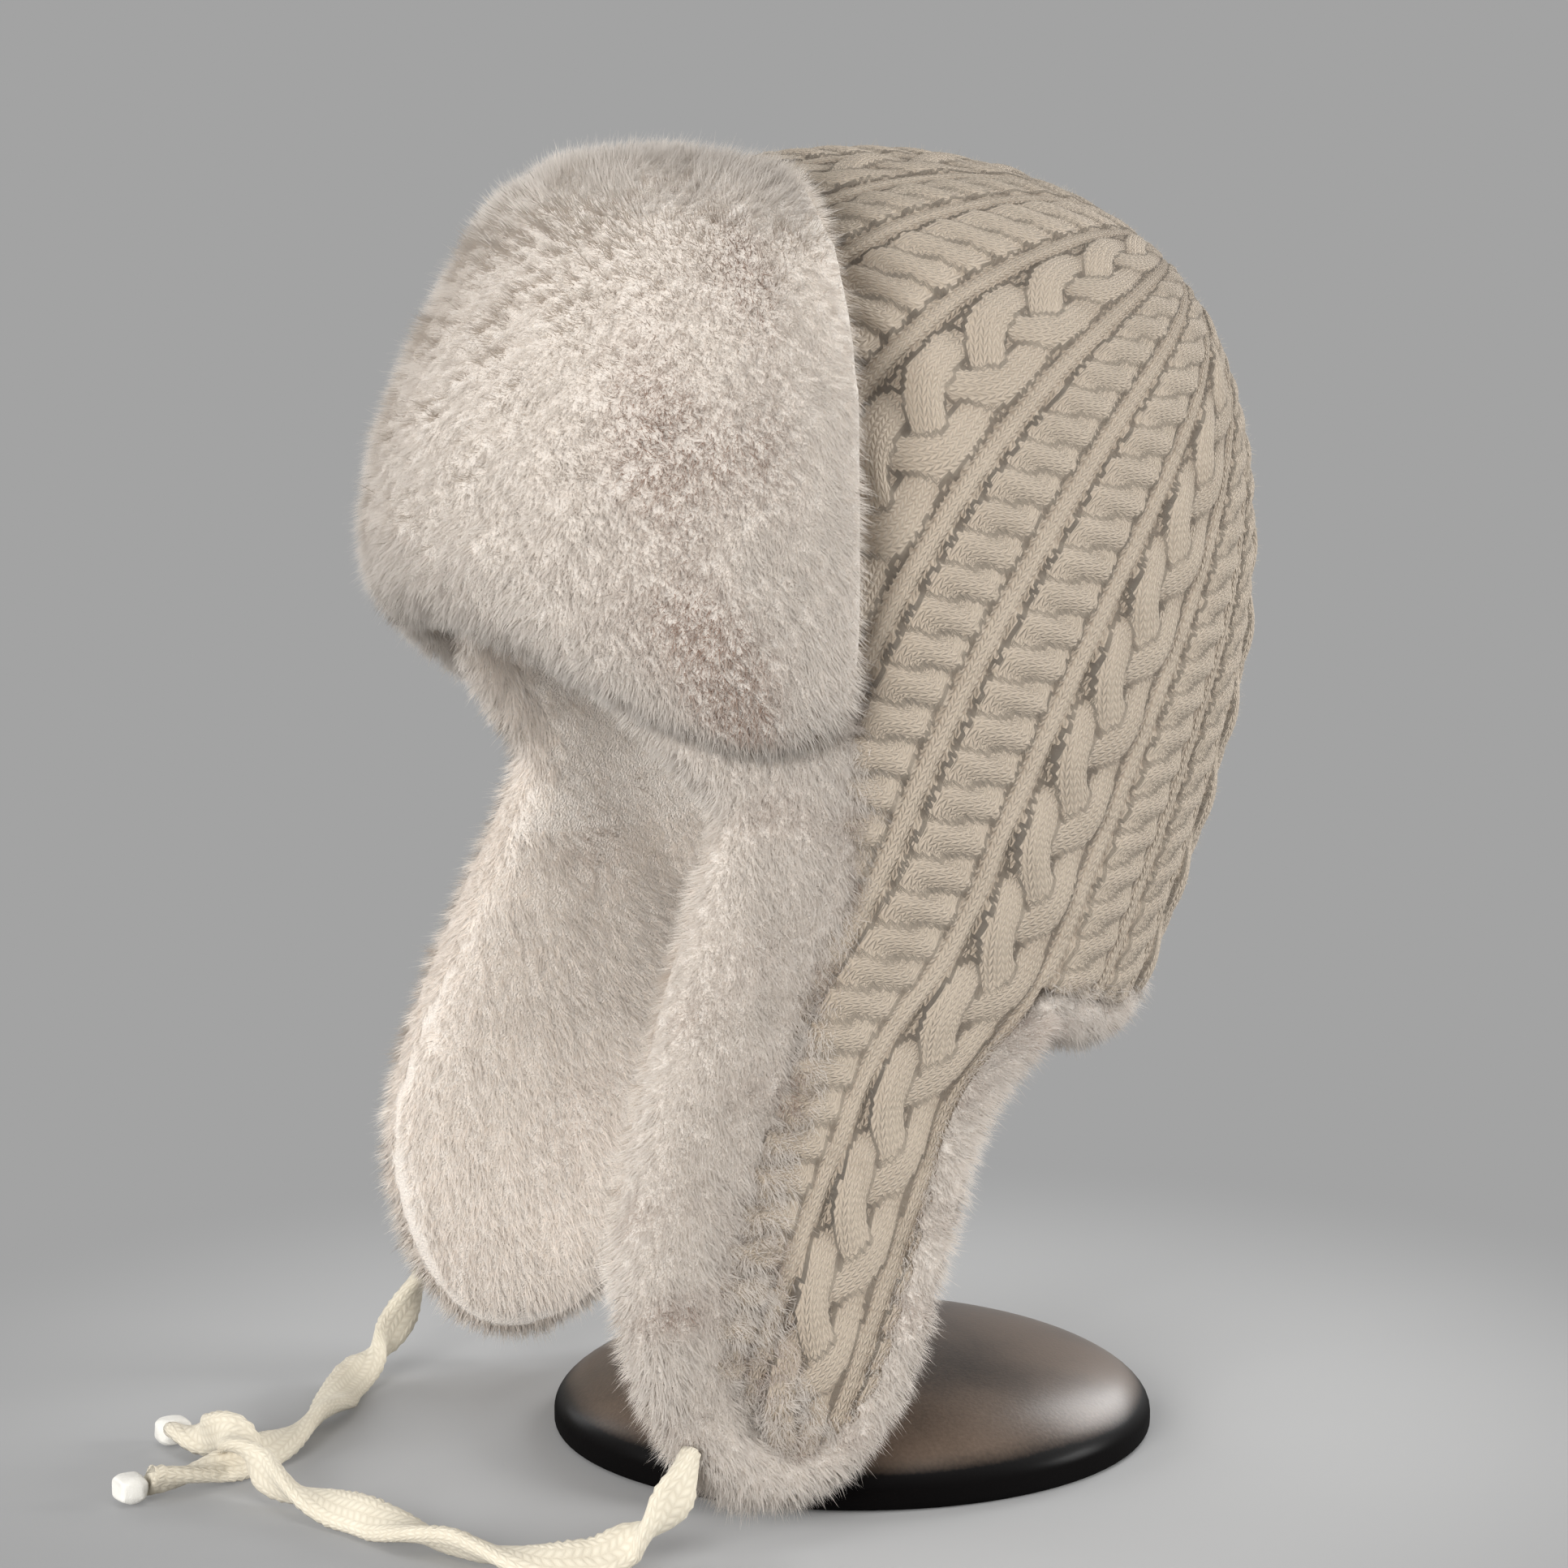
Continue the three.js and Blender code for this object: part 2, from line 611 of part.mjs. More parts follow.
// The knot at the end of a tie, turned onto the tie's direction
function tieKnot(curve) {
  const profile = [new THREE.Vector2(0, SEAT_GAP)];
  const rounds = 5;
  for (let i = 0; i <= rounds; i += 1) {
    const turn = lerp(0.15, 0.85, i / rounds) * Math.PI;
    const radius = (KNOT_DIAMETER / 2) * Math.sin(turn);
    profile.push(new THREE.Vector2(radius, SEAT_GAP + (KNOT_LENGTH * (1 - Math.cos(turn))) / 2));
  }
  profile.push(new THREE.Vector2(0, KNOT_LENGTH));
  const geometry = new THREE.LatheGeometry(profile, TIE_SIDES + 2);
  const direction = curve.getTangentAt(1);
  direction.z = 0;
  const turn = new THREE.Quaternion();
  turn.setFromUnitVectors(new THREE.Vector3(0, 1, 0), direction.normalize());
  const end = curve.getPointAt(1);
  end.z = KNOT_DIAMETER / 2 + SEAT_GAP / 2;
  geometry.applyQuaternion(turn).translate(end.x, end.y, end.z);
  return geometry;
}

// The stand's base: a low dome on a rounded edge, with a small flat seat
function standBase() {
  const radius = BASE_DIAMETER / 2;
  const seat = BASE_SEAT_DIAMETER / 2;
  const profile = [new THREE.Vector2(0, 0), new THREE.Vector2(radius - BASE_EDGE / 2, 0)];
  profile.push(new THREE.Vector2(radius, BASE_EDGE / 2));
  const rounds = 8;
  const last = Math.acos(seat / radius);
  for (let i = 0; i <= rounds; i += 1) {
    const turn = (last * i) / rounds;
    const height = BASE_EDGE + ((BASE_HEIGHT - BASE_EDGE) * Math.sin(turn)) / Math.sin(last);
    profile.push(new THREE.Vector2(radius * Math.cos(turn), height));
  }
  profile.push(new THREE.Vector2(0, BASE_HEIGHT));
  return new THREE.LatheGeometry(profile, 48).rotateX(Math.PI / 2);
}

// The hidden post and its plain cap, which carries the crown from inside
function standPost() {
  const inside = LINING_FACE - LINING_PILE;
  const top = HEM_HEIGHT + CROWN_HEIGHT + inside;
  const foot = BASE_HEIGHT + SEAT_GAP;
  const post = POST_DIAMETER / 2;
  const cap = CAP_DIAMETER / 2;
  const profile = [
    new THREE.Vector2(0, foot),
    new THREE.Vector2(post, foot),
    new THREE.Vector2(post, top - CAP_HEIGHT - post),
    new THREE.Vector2(cap, top - CAP_HEIGHT),
    new THREE.Vector2(cap, top + WALE_RELIEF),
    new THREE.Vector2(0, top + WALE_RELIEF),
  ];
  const blank = new THREE.LatheGeometry(profile, 24).rotateX(Math.PI / 2);
  const crown = filledCrown(inside - SEAT_GAP, HEM_ROW + 1.5, 2);
  const column = new THREE.LatheGeometry(
    [
      new THREE.Vector2(0, foot),
      new THREE.Vector2(post, foot),
      new THREE.Vector2(post, top - CAP_HEIGHT),
      new THREE.Vector2(0, top - CAP_HEIGHT),
    ],
    24,
  ).rotateX(Math.PI / 2);
  return toGeometry(toSolid(blank).intersect(toSolid(crown)).add(toSolid(column)));
}

// Adds a named mesh to a group
function addMesh(group, name, geometry, material) {
  const mesh = new THREE.Mesh(geometry, material);
  mesh.name = name;
  group.add(mesh);
  return mesh;
}

const knitYarn = () => standardMaterial(0xc9bfae, 0.95, 0);
const fur = () => standardMaterial(0xd9cfc6, 1, 0);
const tieYarn = () => standardMaterial(0xe0dbcd, 0.95, 0);
const darkBase = () => standardMaterial(0x2d2824, 0.35, 0);

const hat = new THREE.Group();
addMesh(hat, 'knit_shell', knitShell(), knitYarn());
addMesh(hat, 'fur_lining', furLining(), fur());
addMesh(hat, 'fur_brim', furBrim(), fur());
addMesh(hat, 'nape_trim', napeTrim(), fur());
const flaps = [
  { name: 'left', side: 1, route: TIE_LEFT_ROUTE },
  { name: 'right', side: -1, route: TIE_RIGHT_ROUTE },
];
for (const { name, side, route } of flaps) {
  const curve = tieCurve(side, route);
  addMesh(hat, `flap_trim_${name}`, flapTrim(side), fur());
  addMesh(hat, `tie_${name}`, tie(curve), tieYarn());
  addMesh(hat, `tie_knot_${name}`, tieKnot(curve), tieYarn());
}

const stand = new THREE.Group();
addMesh(stand, 'stand_base', standBase(), darkBase());
addMesh(stand, 'stand_post', standPost(), darkBase());

const model = new THREE.Group();
model.add(hat, stand);

export default model;
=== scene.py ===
"""Knitted aviator hat on its display stand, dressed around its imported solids.

Positions are worked out in millimetres and stored in metres. +Z is up, the hat
faces -Y, and +X is the wearer's left.
"""

import logging
import math
from collections.abc import Callable
from dataclasses import dataclass, replace
from enum import Enum

import bmesh
import bpy
import numpy as np
from mathutils import Matrix, Vector
from mathutils.bvhtree import BVHTree


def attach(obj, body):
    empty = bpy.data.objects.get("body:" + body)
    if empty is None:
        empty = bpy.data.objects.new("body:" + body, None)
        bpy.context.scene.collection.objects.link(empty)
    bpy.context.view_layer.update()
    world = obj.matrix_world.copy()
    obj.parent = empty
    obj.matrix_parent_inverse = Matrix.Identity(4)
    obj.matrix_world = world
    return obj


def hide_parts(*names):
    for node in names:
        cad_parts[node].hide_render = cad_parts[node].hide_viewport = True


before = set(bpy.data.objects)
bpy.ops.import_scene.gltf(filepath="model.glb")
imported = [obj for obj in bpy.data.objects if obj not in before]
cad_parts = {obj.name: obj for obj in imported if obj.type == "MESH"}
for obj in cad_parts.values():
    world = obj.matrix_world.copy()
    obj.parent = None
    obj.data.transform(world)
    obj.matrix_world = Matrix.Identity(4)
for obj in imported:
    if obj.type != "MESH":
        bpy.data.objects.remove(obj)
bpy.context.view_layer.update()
LOG = logging.getLogger("hat")
MM = 0.001
DEG = math.pi / 180
UV_MAP, PLACE, HOLLOW_SHADE, FIBRE = "UVMap", "place", "hollow_shade", "fibre"
BODY = "root"
Array = np.ndarray
Mesh = bmesh.types.BMesh
Piece = bpy.types.Object
Material = bpy.types.Material
Socket = bpy.types.NodeSocket
Colour = tuple[float, float, float, float]
Field = Callable[[Array, Array], Array]


class Side(Enum):
    """The wearer's left or right."""

    LEFT = 1
    RIGHT = -1

    @property
    def word(self) -> str:
        """The side as it stands in names."""
        return self.name.lower()


class Stitch(Enum):
    """What a panel of the knit is worked as."""

    ROPE = "rope"
    PLAIT = "plait"


# ---------------------------------------------------------------- form


@dataclass(frozen=True)
class HatForm:
    """The ground surface of the hat, as a stack of leaning rings.

    A place is (angle, row): the angle runs from 0 at the front to pi at the
    back, negative on the wearer's right, and the row from 0 at the apex to 8
    at the hem and on into the flaps.
    """

    crown_length: float = 236.0
    crown_width: float = 184.0
    crown_height: float = 243.0
    flap_length: float = 124.0
    flap_reach: float = 89.0
    hem_height: float = 134.0
    hem_row: int = 8
    front_angle: float = 55 * DEG
    rear_angle: float = 117 * DEG
    wale_lean: float = 22 * DEG
    crown_rows: tuple = (
        (0.394, 0.877, 0.394, 0.877, 0.0, 0.0),
        (0.305, 0.938, 0.436, 0.815, 0.304, 0.0),
        (0.169, 0.988, 0.475, 0.728, 0.565, 0.008),
        (0.008, 1.004, 0.5, 0.63, 0.761, 0.025),
        (-0.161, 0.984, 0.508, 0.514, 0.891, 0.049),
        (-0.305, 0.909, 0.5, 0.399, 0.967, 0.074),
        (-0.407, 0.794, 0.466, 0.272, 1.0, 0.099),
        (-0.466, 0.663, 0.415, 0.136, 1.0, 0.123),
        (-0.492, 0.531, 0.347, 0.0, 0.978, 0.148),
    )
    flap_rows: tuple = (
        (-0.182, 0.99, 0.363, -0.17, 0.99, 0.14, 0.2),
        (-0.238, 1.01, 0.08, -0.395, 1.025, 0.12, 0.45),
        (-0.286, 1.02, -0.202, -0.613, 1.055, 0.09, 0.68),
        (-0.319, 0.99, -0.468, -0.815, 1.07, 0.06, 0.78),
        (-0.343, 0.93, -0.718, -1.008, 1.06, 0.04, 0.8),
        (-0.366, 0.87, -0.976, -1.202, 1.05, 0.02, 0.8),
    )

    def rings(self) -> Array:
        """The ring table in millimetres.

        Returns:
            One line per row: front y and z, back y and z, half width, dip of
            the sides and flatness of the panel.
        """
        length, height = self.crown_length, self.crown_height
        rings = [
            (fy * length, self.hem_height + fz * height, by * length,
             self.hem_height + bz * height, half * self.crown_width / 2, dip * height, 0.0)
            for fy, fz, by, bz, half, dip in self.crown_rows
        ]
        front, rear = math.cos(self.front_angle), math.cos(self.rear_angle)
        for middle, reach, front_z, rear_z, half, dip, flat in self.flap_rows:
            y0 = middle * length - reach * self.flap_reach / 2
            y1 = middle * length + reach * self.flap_reach / 2
            z0 = self.hem_height + front_z * self.flap_length + dip * height * (1 - front**2)
            z1 = self.hem_height + rear_z * self.flap_length + dip * height * (1 - rear**2)
            span_y, span_z = (y0 - y1) / (front - rear), (z0 - z1) / (front - rear)
            mid_y, mid_z = y0 - span_y * front, z0 - span_z * front
            rings.append((mid_y + span_y, mid_z + span_z, mid_y - span_y, mid_z - span_z,
                          half * self.crown_width / 2, dip * height, flat))
        return np.array(rings)

    def ring_at(self, row: Array) -> Array:
        """Ring values at rows, on a Catmull-Rom curve through the table.

        Args:
            row: Rows.

        Returns:
            The ring values, with one more axis than row.
        """
        table = self.rings()
        last = len(table) - 1
        i = np.clip(np.floor(row).astype(int), 0, last - 1)
        f = (row - i)[..., None]
        p1, p2 = table[i], table[i + 1]
        p0 = np.where((i > 0)[..., None], table[np.maximum(i - 1, 0)], 2 * p1 - p2)
        p3 = np.where((i + 2 <= last)[..., None], table[np.minimum(i + 2, last)], 2 * p2 - p1)
        square = 2 * p0 - 5 * p1 + 4 * p2 - p3
        cubic = -p0 + 3 * p1 - 3 * p2 + p3
        return 0.5 * (2 * p1 + (p2 - p0) * f + square * f**2 + cubic * f**3)

    def ground(self, angle: Array, row: Array) -> Array:
        """Points of the ground in millimetres.

        Args:
            angle: Angles in radians.
            row: Rows, in the same shape.

        Returns:
            The points, with x, y and z on the last axis.
        """
        ring = self.ring_at(row)
        c, s = np.cos(angle), np.sin(angle)
        share = (1 + c) / 2
        x = ring[..., 4] * (s + np.sign(s) * ring[..., 6] * (1 - np.abs(s)))
        y = ring[..., 2] * (1 - share) + ring[..., 0] * share
        z = ring[..., 3] * (1 - share) + ring[..., 1] * share - ring[..., 5] * s * s
        return np.stack([x, y, z], -1)

    def normal(self, angle: Array, row: Array) -> Array:
        """Outward unit normals of the ground.

        Args:
            angle: Angles in radians.
            row: Rows, in the same shape.

        Returns:
            The normals, with x, y and z on the last axis.
        """
        step = 0.01
        row = np.maximum(row, 0.15)
        along = self.ground(angle + step, row) - self.ground(angle - step, row)
        down = self.ground(angle, row + step) - self.ground(angle, row - step)
        normal = np.cross(down, along)
        return normal / np.linalg.norm(normal, axis=-1, keepdims=True)

    def lean(self, row: Array) -> Array:
        """How far the wales lean at a row, in radians, with less growth on the flaps."""
        run = (row - 1) / (self.hem_row - 1) - 0.5
        return self.wale_lean * np.where(run > 0.5, 0.5 + (run - 0.5) * 0.5, run)

    def angle_of(self, wale: Array, row: Array) -> Array:
        """The angle where a wale, named by its free angle, crosses a row."""
        return wale - self.lean(row) * np.sin(wale)

    def wale_of(self, angle: Array, row: Array) -> Array:
        """The wale, named by its free angle, that passes a place."""
        wale = angle.copy()
        for _ in range(6):
            wale = angle + self.lean(row) * np.sin(wale)
        return wale


FORM = HatForm()


@dataclass(frozen=True)
class Panel:
    """The outline of one layer of an ear flap below the hem."""

    front: float
    rear: float
    end_row: float
    tip_row: float

    def place(self, across: Array, down: Array) -> tuple[Array, Array]:
        """Angle and row of a place in the panel.

        Args:
            across: From -1 at the rear edge to 1 at the front edge.
            down: From 0 at the hem to 1 where the round end starts and 2 at its tip.

        Returns:
            Angles in radians and rows.
        """
        end = np.clip(down - 1, 0, 1)
        share = across * np.sqrt(1 - end**2 / 2)
        drop = end * np.sqrt(1 - across**2 / 2)
        rear, front = math.cos(self.rear), math.cos(self.front)
        cosine = rear + (front - rear) * (1 + share) / 2
        straight = FORM.hem_row + (self.end_row - FORM.hem_row) * np.minimum(down, 1)
        return np.arccos(cosine), straight + drop * (self.tip_row - self.end_row)


def drift(points: Array, wavelength: float, seed: int) -> Array:
    """A smooth wandering vector field made of a few sines.

    Args:
        points: Points in millimetres.
        wavelength: The usual length of a wave in millimetres.
        seed: Chooses the field.

    Returns:
        Vectors of about unit size, one per point.
    """
    rng = np.random.default_rng(seed)
    out = np.zeros((len(points), 3))
    for _ in range(5):
        wave = rng.normal(size=(3, 3))
        wave *= 2 * math.pi / wavelength / np.linalg.norm(wave, axis=0)
        out += np.sin(points @ wave + rng.uniform(0, 2 * math.pi, 3))
    return out / 2.2


def unit(vectors: Array) -> Array:
    """Vectors brought to unit length along the last axis."""
    return vectors / np.maximum(np.linalg.norm(vectors, axis=-1, keepdims=True), 1e-12)


def ease(values: Array, low: float, high: float) -> Array:
    """A straight rise from 0 at low to 1 at high."""
    return np.clip((values - low) / (high - low), 0, 1)


# ---------------------------------------------------------------- materials


def linear(red: int, green: int, blue: int) -> Colour:
    """A colour given in screen values from 0 to 255, as scene-linear values."""
    values = [c / 255 for c in (red, green, blue)]
    flat = [v / 12.92 if v <= 0.04045 else ((v + 0.055) / 1.055) ** 2.4 for v in values]
    return flat[0], flat[1], flat[2], 1.0


class Nodes:
    """Short ways to lay nodes in one tree."""

    def __init__(self, tree: bpy.types.NodeTree) -> None:
        """Keeps the tree and empties it."""
        self.tree = tree
        tree.nodes.clear()

    def add(self, kind: str, inputs: dict | None = None, **settings: object) -> bpy.types.Node:
        """Adds a node.

        Args:
            kind: The node's type.
            inputs: Values or sockets for its inputs, by name or number.
            settings: Properties to set on it.

        Returns:
            The node.
        """
        node = self.tree.nodes.new(kind)
        for name, value in settings.items():
            setattr(node, name, value)
        for key, value in (inputs or {}).items():
            if isinstance(value, Socket):
                self.tree.links.new(value, node.inputs[key])
            else:
                node.inputs[key].default_value = value
        return node

    def math(self, operation: str, *values: object) -> Socket:
        """The value of a math node on one or two sockets or numbers."""
        return self.add("ShaderNodeMath", dict(enumerate(values)), operation=operation).outputs[0]

    def weigh(self, a: Socket, a_share: float, b: Socket, b_share: float) -> Socket:
        """The sum of two values, each times its share."""
        return self.math("ADD", self.math("MULTIPLY", a, a_share), self.math("MULTIPLY", b, b_share))

    def coords(self, kind: str) -> Socket:
        """Texture coordinates of a kind."""
        return self.add("ShaderNodeTexCoord").outputs[kind]

    def noise(self, vector: Socket, scale: float, detail: float) -> Socket:
        """The value of a noise texture."""
        return self.add("ShaderNodeTexNoise", {"Vector": vector, "Scale": scale, "Detail": detail}).outputs["Fac"]

    def bump(self, height: Socket, strength: float, distance: float) -> Socket:
        """The normal of a bump node, with its distance in metres."""
        inputs = {"Height": height, "Strength": strength, "Distance": distance}
        return self.add("ShaderNodeBump", inputs).outputs[0]

    def step(self, value: Socket, low: float, high: float) -> Socket:
        """A smooth step from 0 at low to 1 at high."""
        inputs = {"Value": value, "From Min": low, "From Max": high}
        return self.add("ShaderNodeMapRange", inputs, interpolation_type="SMOOTHSTEP").outputs["Result"]

    def ramp(self, factor: Socket, stops: list) -> Socket:
        """The colour of a ramp.

        Args:
            factor: What drives the ramp.
            stops: Two pairs of place and colour.

        Returns:
            The colour socket.
        """
        node = self.add("ShaderNodeValToRGB", {"Fac": factor})
        for element, (place, colour) in zip(node.color_ramp.elements, stops):
            element.position, element.color = place, colour
        return node.outputs["Color"]

    def mix(self, factor: object, a: object, b: object, blend: str = "MIX") -> Socket:
        """The colour of a mix of two colours or sockets."""
        return self.add("ShaderNodeMix", {0: factor, 6: a, 7: b}, data_type="RGBA", blend_type=blend).outputs[2]

    def dress(self, inputs: dict, over: Socket | None = None, share: object = 0.0) -> None:
        """Lays a Principled shader on the surface.

        Args:
            inputs: Values or sockets for its inputs.
            over: Another shader to mix over it.
            share: The other shader's share.
        """
        shown = self.add("ShaderNodeBsdfPrincipled", inputs).outputs[0]
        if over is not None:
            shown = self.add("ShaderNodeMixShader", {0: share, 1: shown, 2: over}).outputs[0]
        self.add("ShaderNodeOutputMaterial", {"Surface": shown})


def surface(name: str) -> tuple[Material, Nodes]:
    """A new material and its empty tree."""
    made = bpy.data.materials.new(name)
    made.use_nodes = True
    return made, Nodes(made.node_tree)


def stitch_group() -> bpy.types.NodeTree:
    """The node group of knit stitches, on a UV map counted in stitches.

    Returns:
        The group, with the inputs UV, Place and Fuzz and the outputs Height
        and Shade.
    """
    group = bpy.data.node_groups.new("knit_stitches", "ShaderNodeTree")
    for name, kind in (("UV", "NodeSocketVector"), ("Place", "NodeSocketVector"), ("Fuzz", "NodeSocketFloat")):
        group.interface.new_socket(name, in_out="INPUT", socket_type=kind)
    for name in ("Height", "Shade"):
        group.interface.new_socket(name, in_out="OUTPUT", socket_type="NodeSocketFloat")
    n = Nodes(group)
    uv, place, fuzziness = n.add("NodeGroupInput").outputs[:3]
    column, row = n.add("ShaderNodeSeparateXYZ", {0: uv}).outputs[:2]
    away = n.math("ABSOLUTE", n.math("SUBTRACT", n.math("FRACT", column), 0.5))
    slant = n.math("SUBTRACT", row, n.math("MULTIPLY", away, 1.3))
    wave = n.math("COSINE", n.math("MULTIPLY", slant, 2 * math.pi))
    leg = n.math("MULTIPLY", n.math("ADD", wave, 1.0), 0.5)
    middle = n.math("MULTIPLY", n.math("SUBTRACT", away, 0.25), 4.0)
    round_leg = n.math("SUBTRACT", 1.0, n.math("MULTIPLY", middle, middle))
    stitch = n.math("MULTIPLY", n.math("POWER", leg, 0.6), n.math("MAXIMUM", round_leg, 0.0))
    soft = n.noise(place, 420.0, 2.0)
    fuzz = n.math("MULTIPLY", n.noise(place, 2600.0, 3.0), fuzziness)
    height = n.math("ADD", n.math("ADD", stitch, fuzz), n.math("MULTIPLY", soft, 0.5))
    n.add("NodeGroupOutput", {"Height": height, "Shade": n.weigh(stitch, 0.6, soft, 0.4)})
    return group


@dataclass(frozen=True)
class YarnFinish:
    """Matt wool yarn, with painted shade between its stitches and, where it has one, in the knit's hollows."""

    name: str
    slot: str
    # The first colour is painted shade between the stitches and in the hollows; the second is the yarn on the stitch
    # tops.
    shaded: Colour
    high: Colour
    relief: float
    cavity_shade: str = ""
    fuzz: float = 0.55

    def material(self, stitches: bpy.types.NodeTree) -> Material:
        """Builds the material.

        Args:
            stitches: The shared node group of knit stitches.

        Returns:
            The material.
        """
        made, n = surface(self.name)
        place = n.coords("Object")
        inputs = {"UV": n.coords("UV"), "Place": place, "Fuzz": self.fuzz}
        height, shade = n.add("ShaderNodeGroup", inputs, node_tree=stitches).outputs[:2]
        # The ramp paints shade where the stitch relief dips, with random tone from the noise.
        factor = n.weigh(shade, 0.45, n.noise(place, 60.0, 3.0), 0.35)
        # The hollow attribute darkens the colour in the knit's recesses, as painted shade.
        if self.cavity_shade:
            hollow_shade = n.add("ShaderNodeAttribute", attribute_name=self.cavity_shade).outputs["Fac"]
            factor = n.math("MULTIPLY", n.math("ADD", factor, 0.35), hollow_shade)
        n.dress({"Base Color": n.ramp(factor, [(0.0, self.shaded), (0.75, self.high)]),
                 "Normal": n.bump(height, 1.0, self.relief), "Roughness": 0.95,
                 "Specular IOR Level": 0.15, "Sheen Weight": 0.08, "Sheen Roughness": 0.6})
        return made


@dataclass(frozen=True)
class FurFinish:
    """Short plush fur: painted darker near the roots and where ruffled, as shade in the pile, and light at the tips.
    """

    name: str
    slot: str
    # The root colour is painted shade deep in the pile.
    root: Colour
    tip: Colour
    # The ruffled colour is painted shade where the pile is opened.
    ruffled: Colour
    glow: float = 0.35

    def backing(self, layer: str, shade: float) -> Material:
        """Builds the material of the cloth that the fibres stand on.

        Args:
            layer: Which layer of fur it is for.
            shade: How light it is, from 0 to 1; the lining's copy is painted lighter, as painted light.

        Returns:
            The material.
        """
        made, n = surface(f"{self.name}_{layer}_backing")
        # The dark end of the backing is the root colour, painted shade under the pile.
        dark, light = (tuple(c * shade for c in colour[:3]) + (1.0,) for colour in (self.root, self.tip))
        place = n.coords("Object")
        pile = n.noise(place, 1500.0, 4.0)
        tufts = n.weigh(pile, 0.6, n.noise(place, 160.0, 3.0), 0.4)
        n.dress({"Base Color": n.ramp(tufts, [(0.2, dark), (0.8, light)]), "Normal": n.bump(pile, 0.9, 0.0015),
                 "Roughness": 1.0, "Specular IOR Level": 0.1, "Sheen Weight": 0.3})
        return made

    def fibres(self) -> Material:
        """Builds the material of the fibres, from their attribute of reach, lightness and ruffle; the lightness is
        half random tone and half painted light.
        """
        made, n = surface(self.name + "_fibres")
        told = n.add("ShaderNodeAttribute", attribute_name=FIBRE).outputs["Color"]
        reach, light, mess = n.add("ShaderNodeSeparateColor", {0: told}).outputs[:3]
        # Ruffled fibres take the ruffled colour, painted shade of the opened pile.
        tip = n.mix(n.math("MULTIPLY", mess, 0.65), self.tip, self.ruffled)
        root = n.mix(mess, self.root, self.ruffled)
        # Fibres are painted darker towards their roots, as shade deep in the pile.
        body = n.mix(n.math("POWER", reach, 0.8), root, tip)
        # The lightness channel is half random tone and half painted light.
        tone_and_light = n.math("ADD", n.math("MULTIPLY", light, 0.42), 0.68)
        grey = n.add("ShaderNodeCombineColor", {0: tone_and_light, 1: tone_and_light, 2: tone_and_light}).outputs[0]
        colour = n.mix(1.0, body, grey, "MULTIPLY")
        through = n.add("ShaderNodeBsdfTranslucent", {"Color": colour}).outputs[0]
        n.dress({"Base Color": colour, "Roughness": 0.85, "Specular IOR Level": 0.2}, through, self.glow)
        return made


@dataclass(frozen=True)
class LacquerFinish:
    """Dark satin lacquer with a brown bloom above its lower edge, partly worn patina and partly painted sheen on the
    top.
    """

    name: str
    slot: str
    dark: Colour
    # The second colour is partly worn patina and partly painted sheen.
    worn_and_sheen: Colour
    roughness: float
    edge_low: float = 0.006
    edge_high: float = 0.015

    def material(self) -> Material:
        """Builds the material."""
        made, n = surface(self.name)
        place = n.coords("Object")
        dust = n.noise(place, 900.0, 3.0)
        mask = n.weigh(n.noise(place, 14.0, 6.0), 0.8, dust, 0.2)
        height = n.add("ShaderNodeSeparateXYZ", {0: place}).outputs["Z"]
        upper = n.step(height, self.edge_low, self.edge_high)
        matt = n.math("ADD", n.math("MULTIPLY", upper, -0.6), 0.6)
        rough = n.math("ADD", n.math("ADD", n.math("MULTIPLY", mask, 0.3), matt), self.roughness)
        # The bloom shows on the upper part only: partly real patina, partly painted sheen where the top catches
        # light.
        bloom_and_sheen = n.ramp(n.math("MULTIPLY", mask, upper), [(0.25, self.dark), (0.62, self.worn_and_sheen)])
        n.dress({"Base Color": bloom_and_sheen, "Roughness": rough, "Normal": n.bump(dust, 0.25, 0.0004),
                 "Specular IOR Level": 0.05, "Coat Roughness": 0.28, "Coat Weight": n.math("MULTIPLY", upper, 0.4)})
        return made


# The knit's colour also darkens in its hollows, as painted shade.
KNIT = YarnFinish("knit_wool", "knit", linear(110, 93, 76), linear(178, 165, 149), 0.0005, HOLLOW_SHADE)
BAND = YarnFinish("tie_wool", "tie", linear(182, 172, 153), linear(218, 211, 194), 0.00015)
CAP = YarnFinish("tie_cap", "tie", linear(200, 197, 189), linear(232, 230, 225), 0.0003)
# The first colour of each fur is painted shade near the roots; the plush fur's third is painted shade where its pile
# is ruffled.
FUR = FurFinish("plush_fur", "fur", linear(236, 224, 212), linear(250, 243, 235), linear(166, 133, 113))
LINT = FurFinish("knit_lint", "knit", linear(200, 187, 168), linear(240, 231, 216), linear(240, 232, 218))
LACQUER = LacquerFinish("dark_lacquer", "stand", linear(7, 6, 6), linear(94, 80, 69), 0.2)


# ---------------------------------------------------------------- mesh helpers


def linked(name: str, data: bpy.types.ID) -> Piece:
    """A new object at the origin of the scene that holds some data."""
    made = bpy.data.objects.new(name, data)
    bpy.context.scene.collection.objects.link(made)
    return made


def read(items: object, name: str, width: int, kind: type = float) -> Array:
    """A value of every item of a mesh, with width numbers each."""
    flat = np.zeros(len(items) * width, kind)
    items.foreach_get(name, flat)
    return flat.reshape(-1, width)


def to_object(name: str, bm: Mesh) -> Piece:
    """Turns a bmesh into a linked object at the origin with smooth faces.

    Args:
        name: The piece's name.
        bm: The bmesh, which is freed.

    Returns:
        The object.
    """
    mesh = bpy.data.meshes.new(name)
    bm.to_mesh(mesh)
    bm.free()
    mesh.polygons.foreach_set("use_smooth", np.ones(len(mesh.polygons), bool))
    return linked(name, mesh)


